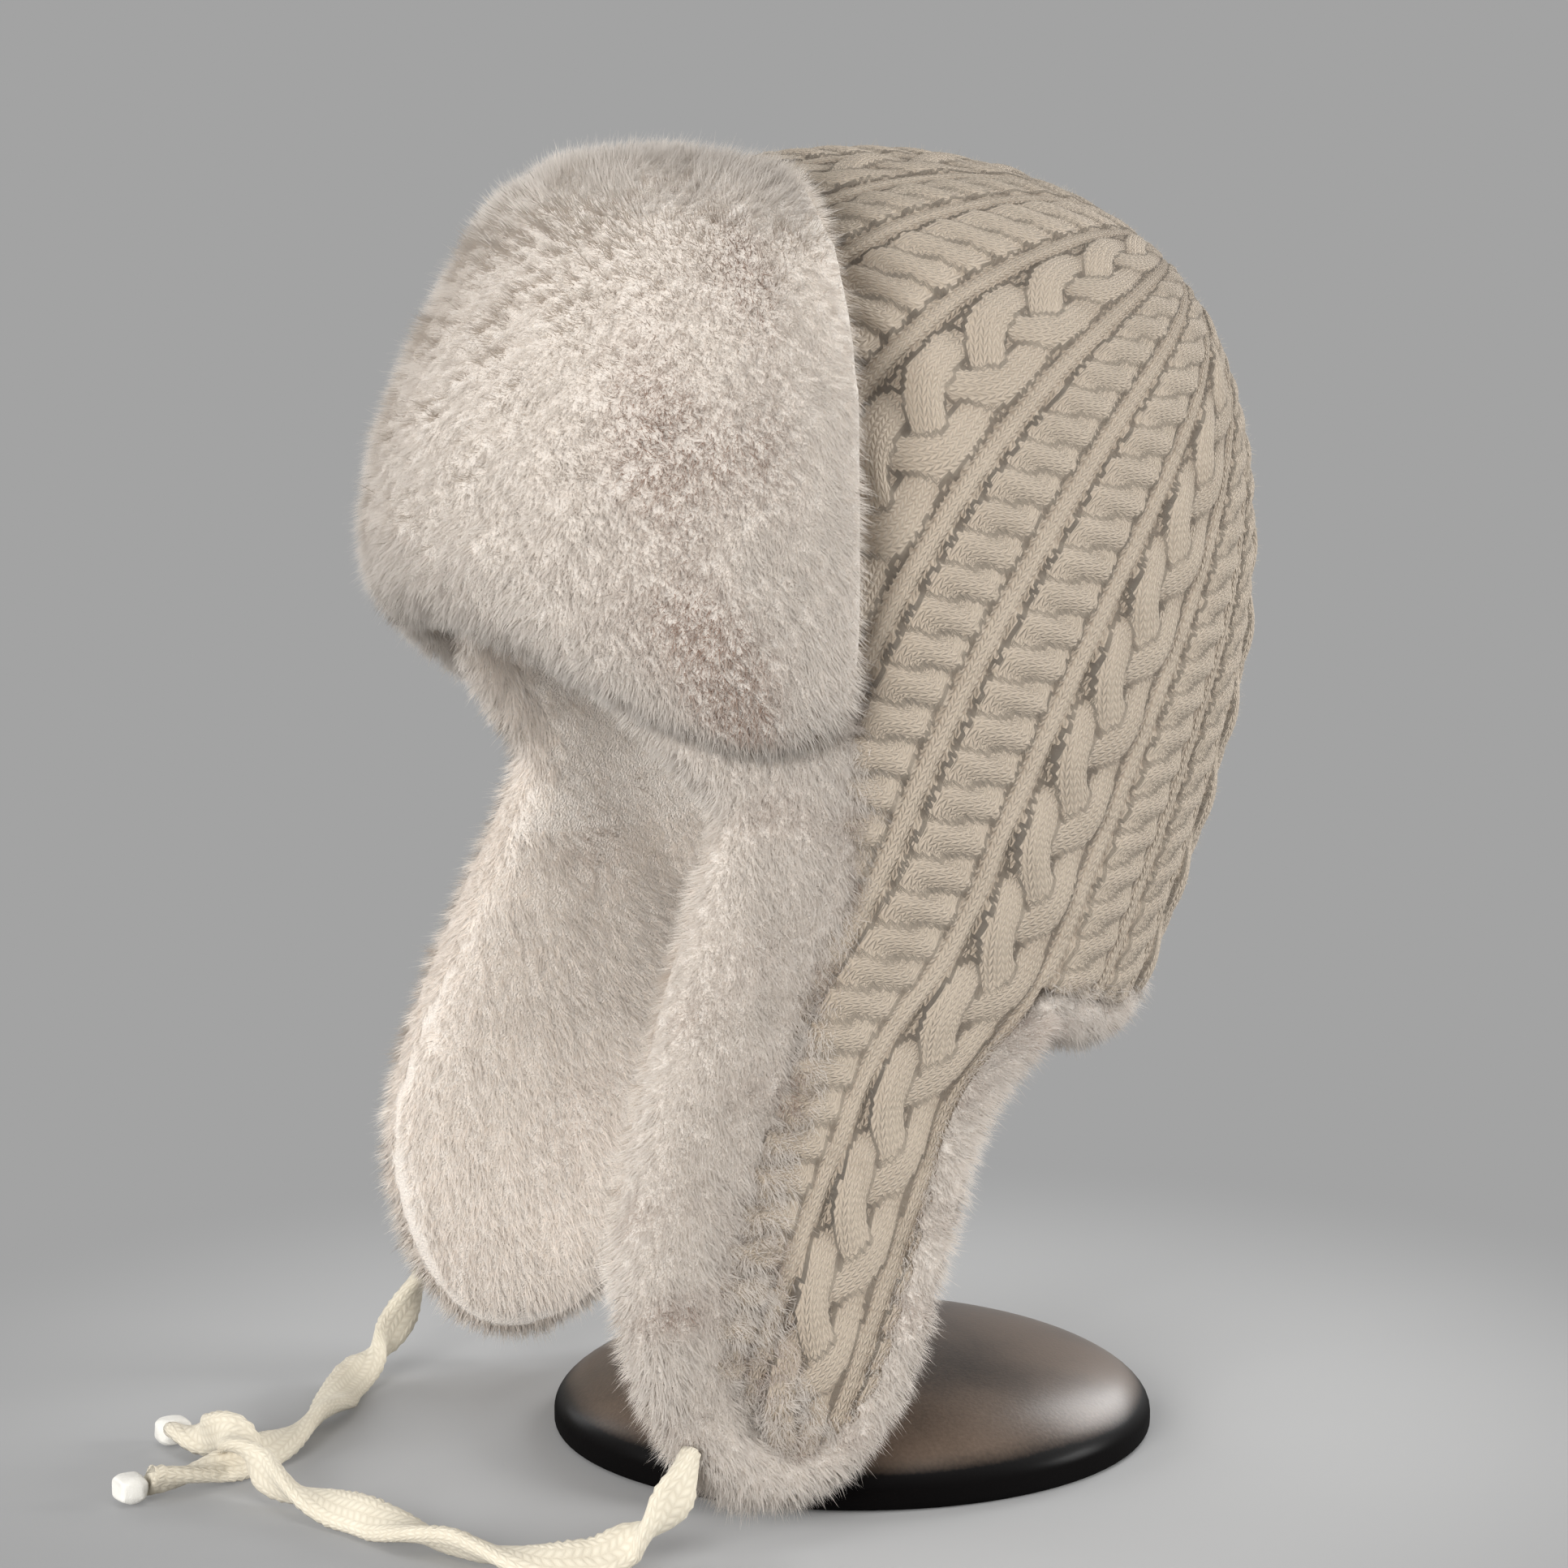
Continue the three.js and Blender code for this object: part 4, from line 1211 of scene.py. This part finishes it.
@dataclass
class FurPieces:
    """Brim, edging, nape roll and lining of the hat."""

    backing: Material
    lit_inner_backing: Material
    fibres: Material
    edge_rows: tuple = (6.6, 6.82, 7.2, 7.66, 8.06, 8.58, 9.04, 9.58, 10.3, 10.74, 11.18, 11.62, 12.02, 12.5, 12.85)
    edge_angles: tuple = (67.5, 68.5, 71.0, 73.2, 75.2, 78.0, 80.0, 82.2, 81.8, 83.8, 87.0, 89.8, 95.5, 108.0, 118.0)

    def solid_copy(self, node: str) -> Mesh:
        """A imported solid's mesh with its loose triangles merged."""
        bm = bmesh.new()
        bm.from_mesh(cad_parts[node].data)
        bmesh.ops.remove_doubles(bm, verts=bm.verts[:], dist=1e-6)
        return bm

    def grow(self, name: str, ground: Ground, pile: Pile, *fields: object) -> None:
        """Grows a pile of the hat's own fur."""
        grow_pile(name, ground, pile, (FUR.slot, self.fibres), *fields)

    def brim(self) -> None:
        """The turned-up brim."""
        bm = remeshed(to_object("brim_rough", self.solid_copy("fur_brim")), 3.0, 6, 2.0)
        body = settle(to_object("brim_body", bm), FUR.slot, self.backing, "fur_brim")
        ground = Ground.of(body)
        p, n = ground.middles()
        hidden = (n[:, 1] > 0.35) & (p[:, 1] > -140) & (p[:, 2] > 240) & (p[:, 2] < 350)

        def nap(p: Array, n: Array) -> Array:
            """The pile lies down, and back at the top."""
            share = ease(p[:, 2:3], 345, 370)
            return np.array([0.0, 0.15, -1.0]) * (1 - share) + np.array([0.0, 1.0, -0.15]) * share

        def ruffle(p: Array, n: Array) -> Array:
            """The sides are ruffled in patches, but not along their rear edge."""
            side = ease(np.abs(n[:, 0]), 0.5, 0.75)
            rear = ease(-p[:, 1], 58, 72)
            return side * rear * (0.7 + 0.28 * drift(p, 45.0, 5)[:, 0])

        self.grow("brim_fur", ground, BRIM_PILE, np.where(hidden, 0.35, 1.0), nap, ruffle)

    def cheek_patch(self, side: Side) -> Mesh:
        """The fur that runs from the edging up under the brim.

        Args:
            side: Which side.

        Returns:
            A closed bmesh.
        """
        rows = np.linspace(6.6, 8.35, 24)
        share = np.linspace(0, 1, 30)
        edge = np.interp(rows, self.edge_rows, self.edge_angles)
        angle = (25 + (edge[:, None] + 2.0 - 25) * share) * DEG
        row = np.repeat(rows[:, None], len(share), 1)
        bulge = np.sqrt(np.clip(1 - ((share - 0.5) / 0.53) ** 4, 0, 1)) * 9.5 - 1.5
        ground = FORM.ground(angle, row)
        normal = FORM.normal(angle, row)
        top = ground + normal * bulge[None, :, None]
        bottom = (ground - normal * 7.0)[:, ::-1]
        ring = np.concatenate([top, bottom, top[:, :1]], 1) * (side.value, 1, 1)
        return close(grid(ring))

    def roll(self, side: Side, angle: Array, row: Array, wide: Array, high: Array) -> Mesh:
        """A soft roll of fur along a line on the form.

        Args:
            side: Which side.
            angle: Angles of the line in radians.
            row: Rows of the line.
            wide: Half widths along the line in millimetres.
            high: Half heights along the line in millimetres.

        Returns:
            A closed bmesh.
        """
        path = FORM.ground(angle, row)
        normal = FORM.normal(angle, row)
        inner = unit(np.cross(normal, np.gradient(path, axis=0)))
        turn = np.linspace(0, 2 * math.pi, 15)
        ring = (path + normal * 1.0)[:, None] + (
            inner[:, None] * (np.cos(turn)[:, None] * wide[:, None, None])
            + normal[:, None] * (np.sin(turn)[:, None] * high[:, None, None]))
        return close(grid(ring * (side.value, 1, 1)))

    def panel_lip(self, side: Side) -> Mesh:
        """The soft lip of fur over the knit panel's edge.

        Args:
            side: Which side.

        Returns:
            A closed bmesh.
        """
        down = np.concatenate([np.linspace(-0.1, 2, 60), np.full(30, 2.0), np.linspace(2, 0.1, 60)])
        across = np.concatenate([np.ones(60), np.linspace(1, -1, 32)[1:-1], -np.ones(60)])
        panel = KnitCrown().panel
        angle, row = panel.place(across * np.where(across > 0, 0.92, 0.98), np.maximum(down, 0) * 0.99)
        row = row + np.minimum(down, 0) * 10
        taper = np.interp(np.arange(len(down)), [0, 16], [0.3, 1.0])
        return self.roll(side, angle, row, np.interp(across, [-1, 1], [2.8, 6.0]) * taper, 4.2 * taper)

    def nape_lip(self, side: Side) -> Mesh:
        """The soft lip of fur under the knit's rear hem."""
        angle = np.linspace(112, 180, 50) * DEG
        row, wide, high = (np.full(len(angle), value) for value in (FORM.hem_row + 0.02, 3.2, 3.6))
        return self.roll(side, angle, row, wide, high)

    def puff(self, skin: Mesh) -> None:
        """Rounds the inner faces of the flaps like a pillow.

        Args:
            skin: The fused skin of the fur pieces.
        """
        faced = [v for v in skin.verts if v.normal.x * v.co.x < -0.05 * abs(v.co.x)
                 and v.co.y < -0.006 and v.co.z < 0.2 and abs(v.co.x) > 0.05]
        soften(skin, faced, 0.5, 36)
        for vertex in faced:
            x, y, z = vertex.co / MM
            away = ((y + 60) / 46) ** 2 + ((z - 102) / 88) ** 2
            if away < 1:
                vertex.co.x -= math.copysign(8.0 * MM * (1 - away) ** 0.7, x)
        soften(skin, faced, 0.5, 5)
        soften(skin, skin.verts[:], 0.5, 1)

    def fused(self) -> dict[str, Piece]:
        """Lining, edging and nape roll as one soft skin, cut apart by solid.

        Returns:
            The pieces by the names of the nodes that they replace.
        """
        names = {"fur_lining": "lining_body", "nape_trim": "nape_body",
                 "flap_trim_left": "edging_body_left", "flap_trim_right": "edging_body_right"}
        whole = bmesh.new()
        trees = []
        owners = np.array([0, 1, 2, 3, 2, 3, 2, 3, 1, 1])
        shapes = [make(side) for make in (self.cheek_patch, self.panel_lip, self.nape_lip) for side in Side]
        for part in [*map(self.solid_copy, names), *shapes]:
            trees.append(BVHTree.FromBMesh(part))
            absorb(whole, part)
        skin = remeshed(to_object("skin_rough", whole), 3.1, 7, 1.3)
        self.puff(skin)
        middles = [face.calc_center_median() for face in skin.faces]
        reach = np.array([[tree.find_nearest(middle)[3] for tree in trees] for middle in middles])
        nearest = owners[reach.argmin(axis=1)]
        made = {}
        for i, (node, name) in enumerate(names.items()):
            own = skin.copy()
            own.faces.ensure_lookup_table()
            others = [face for face, owner in zip(own.faces, nearest) if owner != i]
            bmesh.ops.delete(own, geom=others, context="FACES")
            # The lining's backing is the lighter copy, as painted light.
            cloth = self.lit_inner_backing if name == "lining_body" else self.backing
            made[node] = settle(to_object(name, own), FUR.slot, cloth, node)
        skin.free()
        return made

    def flap_nap(self, p: Array, n: Array) -> Array:
        """The lining's pile lies outward from the middle of a flap, and down in the crown."""
        out = unit((p - np.array([0.0, -62.0, 190.0])) * (0.0, 1.4, 1.0))
        share = ease(p[:, 2:3], 130, 170)
        return out * (1 - share) + np.array([0.0, -0.25, -1.0]) * share

    def edging(self, side: Side, body: Piece) -> None:
        """The pile on the edging of one flap.

        Args:
            side: Which flap.
            body: The edging's own skin.
        """
        ground = Ground.of(body)
        p, _ = ground.middles()

        def ruffle(p: Array, n: Array) -> Array:
            """The outer face is ruffled in patches."""
            return (0.15 + 0.4 * drift(p, 26.0, 8)[:, 0]) * np.clip(n[:, 0] * side.value * 1.5, 0, 1)

        share = np.where(p[:, 2] > 242, 0.0, 1.0)
        # Painted light: fibres facing into the hat are painted lighter and those facing out darker.
        self.grow(f"edging_fur_{side.word}", ground, EDGING_PILE.of(side), share, self.flap_nap, ruffle,
                  lambda p, n: 0.75 - n[:, 0] * side.value * 1.5)

    def nape(self, body: Piece) -> None:
        """The pile on the roll under the nape."""
        ground = Ground.of(body)
        self.grow("nape_fur", ground, NAPE_PILE, np.ones(len(ground.triangles)),
                  flow(0.0, 0.3, -1.0), patches(0.3, 0.4, 30.0, 9))

    def lining(self, body: Piece) -> None:
        """The pile of the lining, denser on the flaps.

        Args:
            body: The lining's own skin.
        """
        ground = Ground.of(body)
        p, n = ground.middles()
        inward = (n * (np.array([0.0, -20.0, 170.0]) - p)).sum(1) > 0
        flap = (p[:, 1] < 5) & (p[:, 2] < 175)
        share = np.where(inward, np.where(flap, 1.0, np.clip((235 - p[:, 2]) / 50, 0.12, 0.4)), 0.0)
        # Painted light: every lining fibre is painted lightest.
        self.grow("lining_fur", ground, LINING_PILE, share, self.flap_nap,
                  patches(0.0, 0.3, 60.0, 12), lambda p, n: np.ones(len(p)))

    def haze(self, side: Side, knit: Ground, places: Array) -> None:
        """The fibres that reach over the knit beside the fur.

        Args:
            side: Which side.
            knit: The mesh of the knit's half.
            places: Angle, row and height of its vertices.
        """
        middle = places[knit.triangles].mean(axis=1)
        angle, row = middle[:, 0] / DEG, middle[:, 1]
        edge = np.interp(row, self.edge_rows, self.edge_angles)
        front = ease(edge - angle, -2.5, 1.5)
        rear = 0.35 * ease(angle, 107.5, 109.5) * (row > FORM.hem_row + 0.1)
        nape = 0.5 * (angle > 110) * ease(row, 7.8, 7.95)
        share = np.where((row > 6.7) & (angle > 40), np.maximum(np.maximum(front, rear), nape), 0.0)
        self.grow(f"edging_haze_{side.word}", knit, HAZE_PILE.of(side), share,
                  flow(0.0, -0.2, -1.0), patches(0.3, 0.4, 24.0, 14))

    def build(self, knits: dict) -> None:
        """Builds every fur piece.

        Args:
            knits: The ground and the places of the knit's halves, by side.
        """
        self.brim()
        bodies = self.fused()
        for side in Side:
            self.edging(side, bodies[f"flap_trim_{side.word}"])
            self.haze(side, *knits[side])
        self.nape(bodies["nape_trim"])
        self.lining(bodies["fur_lining"])


# ---------------------------------------------------------------- ties


@dataclass
class Tie:
    """A flat twisted knitted band with its knot."""

    side: Side
    route: tuple
    width: float = 12.0
    thickness: float = 5.4
    around: int = 16
    spacing: float = 1.5

    def centreline(self) -> Array:
        """The band's middle line in millimetres."""
        return catmull_path(np.array(self.route, float), self.spacing)

    def frames(self, path: Array) -> tuple[Array, Array]:
        """The band's broad and thin directions along its path.

        Args:
            path: The middle line.

        Returns:
            Unit vectors along the width and along the thickness.
        """
        run = np.linspace(0, 1, len(path))
        tangent = unit(np.gradient(path, axis=0))
        level = unit(np.cross([0, 0, 1.0], tangent))
        up = np.cross(tangent, level)
        length = len(path) * self.spacing
        swing = np.sin(run * length / 38 * math.pi + self.side.value)
        hanging = ease(path[:, 2], 4, 9)
        roll = swing * (0.55 + 1.3 * hanging)
        c, s = np.cos(roll)[:, None], np.sin(roll)[:, None]
        return level * c + up * s, up * c - level * s

    def band(self, material: Material) -> tuple[Piece, Array]:
        """Builds the band.

        Args:
            material: The band's material.

        Returns:
            The piece and its middle line.
        """
        path = self.centreline()
        broad, thin = self.frames(path)
        turn = np.linspace(0, 2 * math.pi, self.around + 1)
        run = np.arange(len(path)) * self.spacing
        scallop = 1 + 0.05 * np.cos(2 * math.pi * run / 3.4)
        taper = np.interp(run, [0, 3, 12], [0.45, 0.6, 1.0]) * scallop
        x = np.sign(np.cos(turn)) * np.abs(np.cos(turn)) ** 0.8 * self.width / 2
        y = np.sign(np.sin(turn)) * np.abs(np.sin(turn)) ** 0.8 * self.thickness / 2
        dent = 1 - 0.18 * np.exp(-((x / 1.6) ** 2))
        points = (path[:, None] + broad[:, None] * (x[None, :, None] * taper[:, None, None])
                  + thin[:, None] * (y * dent)[None, :, None])
        low = points[..., 2].min(axis=1)
        lift = np.clip(0.5 - low, 0, None)
        points[..., 2] += lift[:, None]
        bm = grid(points)
        uv = bm.loops.layers.uv.new(UV_MAP)
        share = np.tile(np.arange(self.around + 1) / self.around * 8, len(path))
        along = np.repeat(run / 2.6, self.around + 1)
        bm.verts.index_update()
        for face in bm.faces:
            for loop in face.loops:
                loop[uv].uv = (share[loop.vert.index], along[loop.vert.index])
        piece = to_object(f"tie_band_{self.side.word}", close(bm))
        settle(piece, BAND.slot, material, f"tie_{self.side.word}")
        line = path.copy()
        line[:, 2] += lift
        return piece, line

    def knot(self, path: Array, material: Material) -> Piece:
        """Builds the bound cap at the band's end.

        Args:
            path: The band's middle line.
            material: The cap's material.

        Returns:
            The piece.
        """
        ahead = unit((path[-1] - path[-4]) * (1, 1, 0))
        level = np.array([-ahead[1], ahead[0], 0])
        bm = bmesh.new()
        bmesh.ops.create_icosphere(bm, subdivisions=4, radius=1.0, calc_uvs=True)
        ball = np.array([v.co[:] for v in bm.verts])
        box = np.sign(ball) * np.abs(ball) ** 0.62
        box *= (1 + 0.05 * drift(ball * 10, 9.0, 3))
        centre = path[-1] + ahead * 5.6
        points = centre + box[:, :1] * 4.3 * ahead + box[:, 1:2] * 5.0 * level
        points[:, 2] = 4.6 + box[:, 2] * 3.9
        points[:, 2] = np.maximum(points[:, 2], 0.4)
        place_vertices(bm, points)
        piece = to_object(f"tie_end_{self.side.word}", bm)
        return settle(piece, BAND.slot, material, f"tie_knot_{self.side.word}")

    def build(self, material: Material, cap: Material) -> None:
        """Args:
            material: The band's material.
            cap: The cap's material.
        """
        band, path = self.band(material)
        knot = self.knot(path, cap)


TIES = (
    Tie(Side.LEFT, (
        (104, -97.5, 32), (108.5, -103, 24), (107.5, -108.5, 15.5), (104, -115, 9.5), (102, -125, 5.4),
        (98, -136, 5), (84, -147, 5), (56, -162, 5), (31, -173, 5), (8, -183, 7.5), (-18, -188, 14),
        (-40, -190, 8), (-54, -193, 5.2))),
    Tie(Side.RIGHT, (
        (-104, -92.5, 40.5), (-109, -99, 31), (-106, -107.5, 18), (-100, -118, 9), (-88, -129, 5.2),
        (-64, -144, 5), (-43, -160, 5), (-27, -176, 5), (-18, -190, 5), (-14, -203, 5), (-12, -214, 5.2))),
)


# ---------------------------------------------------------------- stand


@dataclass
class DisplayStand:
    """The low domed base and the post inside the hat, in millimetres."""

    radius: float = 90.0
    height: float = 28.0
    edge: float = 5.0
    under: float = 3.0
    seat: float = 15.0
    steps: int = 96

    def profile(self) -> list[tuple[float, float]]:
        """The base's outline from the middle of its underside to its seat."""
        half = self.edge / 2
        points = [(0.0, 0.0), (self.radius - self.under, 0.0)]
        for turn in np.linspace(-math.pi / 2, 0, 7).tolist():
            points.append((self.radius - half + half * math.cos(turn), half + half * math.sin(turn)))
        last = math.acos(self.seat / self.radius)
        rise = (self.height - self.edge) / math.sin(last)
        for turn in np.linspace(0, last, 25).tolist():
            points.append((self.radius * math.cos(turn), self.edge + rise * math.sin(turn)))
        points.append((0.0, self.height))
        return points

    def build(self, material: Material) -> None:
        """Builds the base and dresses the post.

        Args:
            material: The lacquer.
        """
        bm = bmesh.new()
        verts = [bm.verts.new((x * MM, 0, z * MM)) for x, z in self.profile()]
        edges = [bm.edges.new(pair) for pair in zip(verts, verts[1:])]
        bmesh.ops.spin(bm, geom=verts + edges, cent=(0, 0, 0), axis=(0, 0, 1), angle=2 * math.pi,
                       steps=self.steps, use_merge=True)
        bmesh.ops.remove_doubles(bm, verts=bm.verts[:], dist=1e-6)
        bmesh.ops.recalc_face_normals(bm, faces=bm.faces[:])
        list_by_place(bm.verts, bm.verts[:], lambda vertex: vertex.co[:])
        list_by_place(bm.faces, bm.faces[:], lambda face: face.calc_center_median()[:])
        settle(to_object("base_dome", bm), LACQUER.slot, material, "stand_base")
        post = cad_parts["stand_post"]
        post.data.materials.clear()
        post.data.materials.append(material)


# ---------------------------------------------------------------- studio


HAT_MIDDLE = (0.0, -0.03, 0.2)
WHITE = (1.0, 1.0, 1.0)


@dataclass
class Studio:
    """Camera, floor and light, with lengths in metres.

    Each lamp has a name, a place, an aim, a side, a power in watts and a tint.
    """

    azimuth: float = 64.2 * DEG
    distance: float = 1.06
    camera_height: float = 0.321
    pitch: float = 6.85 * DEG
    yaw: float = 1.11 * DEG
    lens: float = 82.55
    room: Colour = (0.366, 0.366, 0.366, 1.0)
    paper: Colour = (0.385, 0.385, 0.385, 1.0)
    floor_half: float = 12.0
    fade: tuple = (0.1, 0.36)
    lamps: tuple = (
        ("key", (-0.3, -1.9, 0.75), HAT_MIDDLE, 1.1, 11.5, WHITE),
        ("fill", (1.4, -1.5, 0.5), (-0.02, -0.05, 0.13), 0.9, 46, (1.0, 0.997, 0.99)),
        ("top", (0.4, -0.1, 1.9), HAT_MIDDLE, 1.3, 8, WHITE),
        ("rim", (-0.8, 1.6, 1.0), HAT_MIDDLE, 0.9, 20, (0.98, 0.99, 1.0)),
        ("side", (1.15, 2.9, 0.85), HAT_MIDDLE, 1.15, 116, (1.0, 0.998, 0.99)),
        ("far", (-1.7, -0.4, 0.8), HAT_MIDDLE, 1.0, 10, WHITE),
    )

    def camera(self) -> None:
        """Puts the camera where the picture was taken from."""
        a = self.azimuth
        aside = Vector((math.cos(a), math.sin(a), 0))
        ahead = Vector((-math.sin(a), math.cos(a), 0))
        right = aside * math.cos(self.yaw) + ahead * math.sin(self.yaw)
        level = ahead * math.cos(self.yaw) - aside * math.sin(self.yaw)
        forward = level * math.cos(self.pitch) + Vector((0, 0, -1)) * math.sin(self.pitch)
        up = right.cross(forward)
        data = bpy.data.cameras.new("camera")
        data.sensor_width = 36
        data.lens = self.lens
        data.clip_start, data.clip_end = 0.05, 50
        camera = linked("camera", data)
        turn = Matrix((right, up, -forward)).transposed().to_4x4()
        place = Vector((self.distance * math.sin(a), -self.distance * math.cos(a), self.camera_height))
        camera.matrix_world = Matrix.Translation(place) @ turn
        bpy.context.scene.camera = camera

    def floor(self) -> None:
        """A wide pale floor that fades into the grey of the room."""
        bm = bmesh.new()
        bmesh.ops.create_grid(bm, x_segments=2, y_segments=2, size=self.floor_half)
        floor = to_object("floor", bm)
        made, n = surface("floor_paper")
        glow = n.add("ShaderNodeEmission", {"Color": self.room}).outputs[0]
        far = n.add("ShaderNodeVectorMath", {0: n.coords("Object")}, operation="LENGTH").outputs["Value"]
        inputs = {"Base Color": self.paper, "Roughness": 0.95, "Specular IOR Level": 0.05}
        n.dress(inputs, glow, n.step(far, *self.fade))
        floor.data.materials.append(made)

    def light(self) -> None:
        """Soft square lamps on both sides and above, in a grey room."""
        world = bpy.data.worlds.new("room")
        world.use_nodes = True
        shade = world.node_tree.nodes["Background"]
        shade.inputs["Color"].default_value = self.room
        shade.inputs["Strength"].default_value = 1.0
        bpy.context.scene.world = world
        for name, place, aim, size, power, tint in self.lamps:
            data = bpy.data.lights.new(name, "AREA")
            data.shape, data.size, data.energy, data.color = "SQUARE", size, power, tint
            turn = (Vector(place) - Vector(aim)).to_track_quat("Z", "Y").to_matrix().to_4x4()
            linked(name, data).matrix_world = Matrix.Translation(place) @ turn

    def build(self) -> None:
        """Builds the studio."""
        view = bpy.context.scene.view_settings
        view.view_transform = "Standard"
        view.look = "None"
        self.camera()
        self.floor()
        self.light()


def main() -> None:
    """Builds the scene in order and logs each piece."""
    logging.basicConfig(level=logging.INFO, format="%(message)s")
    Studio().build()
    stitches = stitch_group()
    band = BAND.material(stitches)
    cap = CAP.material(stitches)
    for tie in TIES:
        tie.build(band, cap)
    knits = KnitCrown().build(KNIT.material(stitches), LINT.fibres())
    # The lining's backing is a lighter copy of the outer one, as painted light.
    FurPieces(FUR.backing("outer", 0.8), FUR.backing("inner", 0.9), FUR.fibres()).build(knits)
    DisplayStand().build(LACQUER.material())


if __name__ == "__main__":
    main()
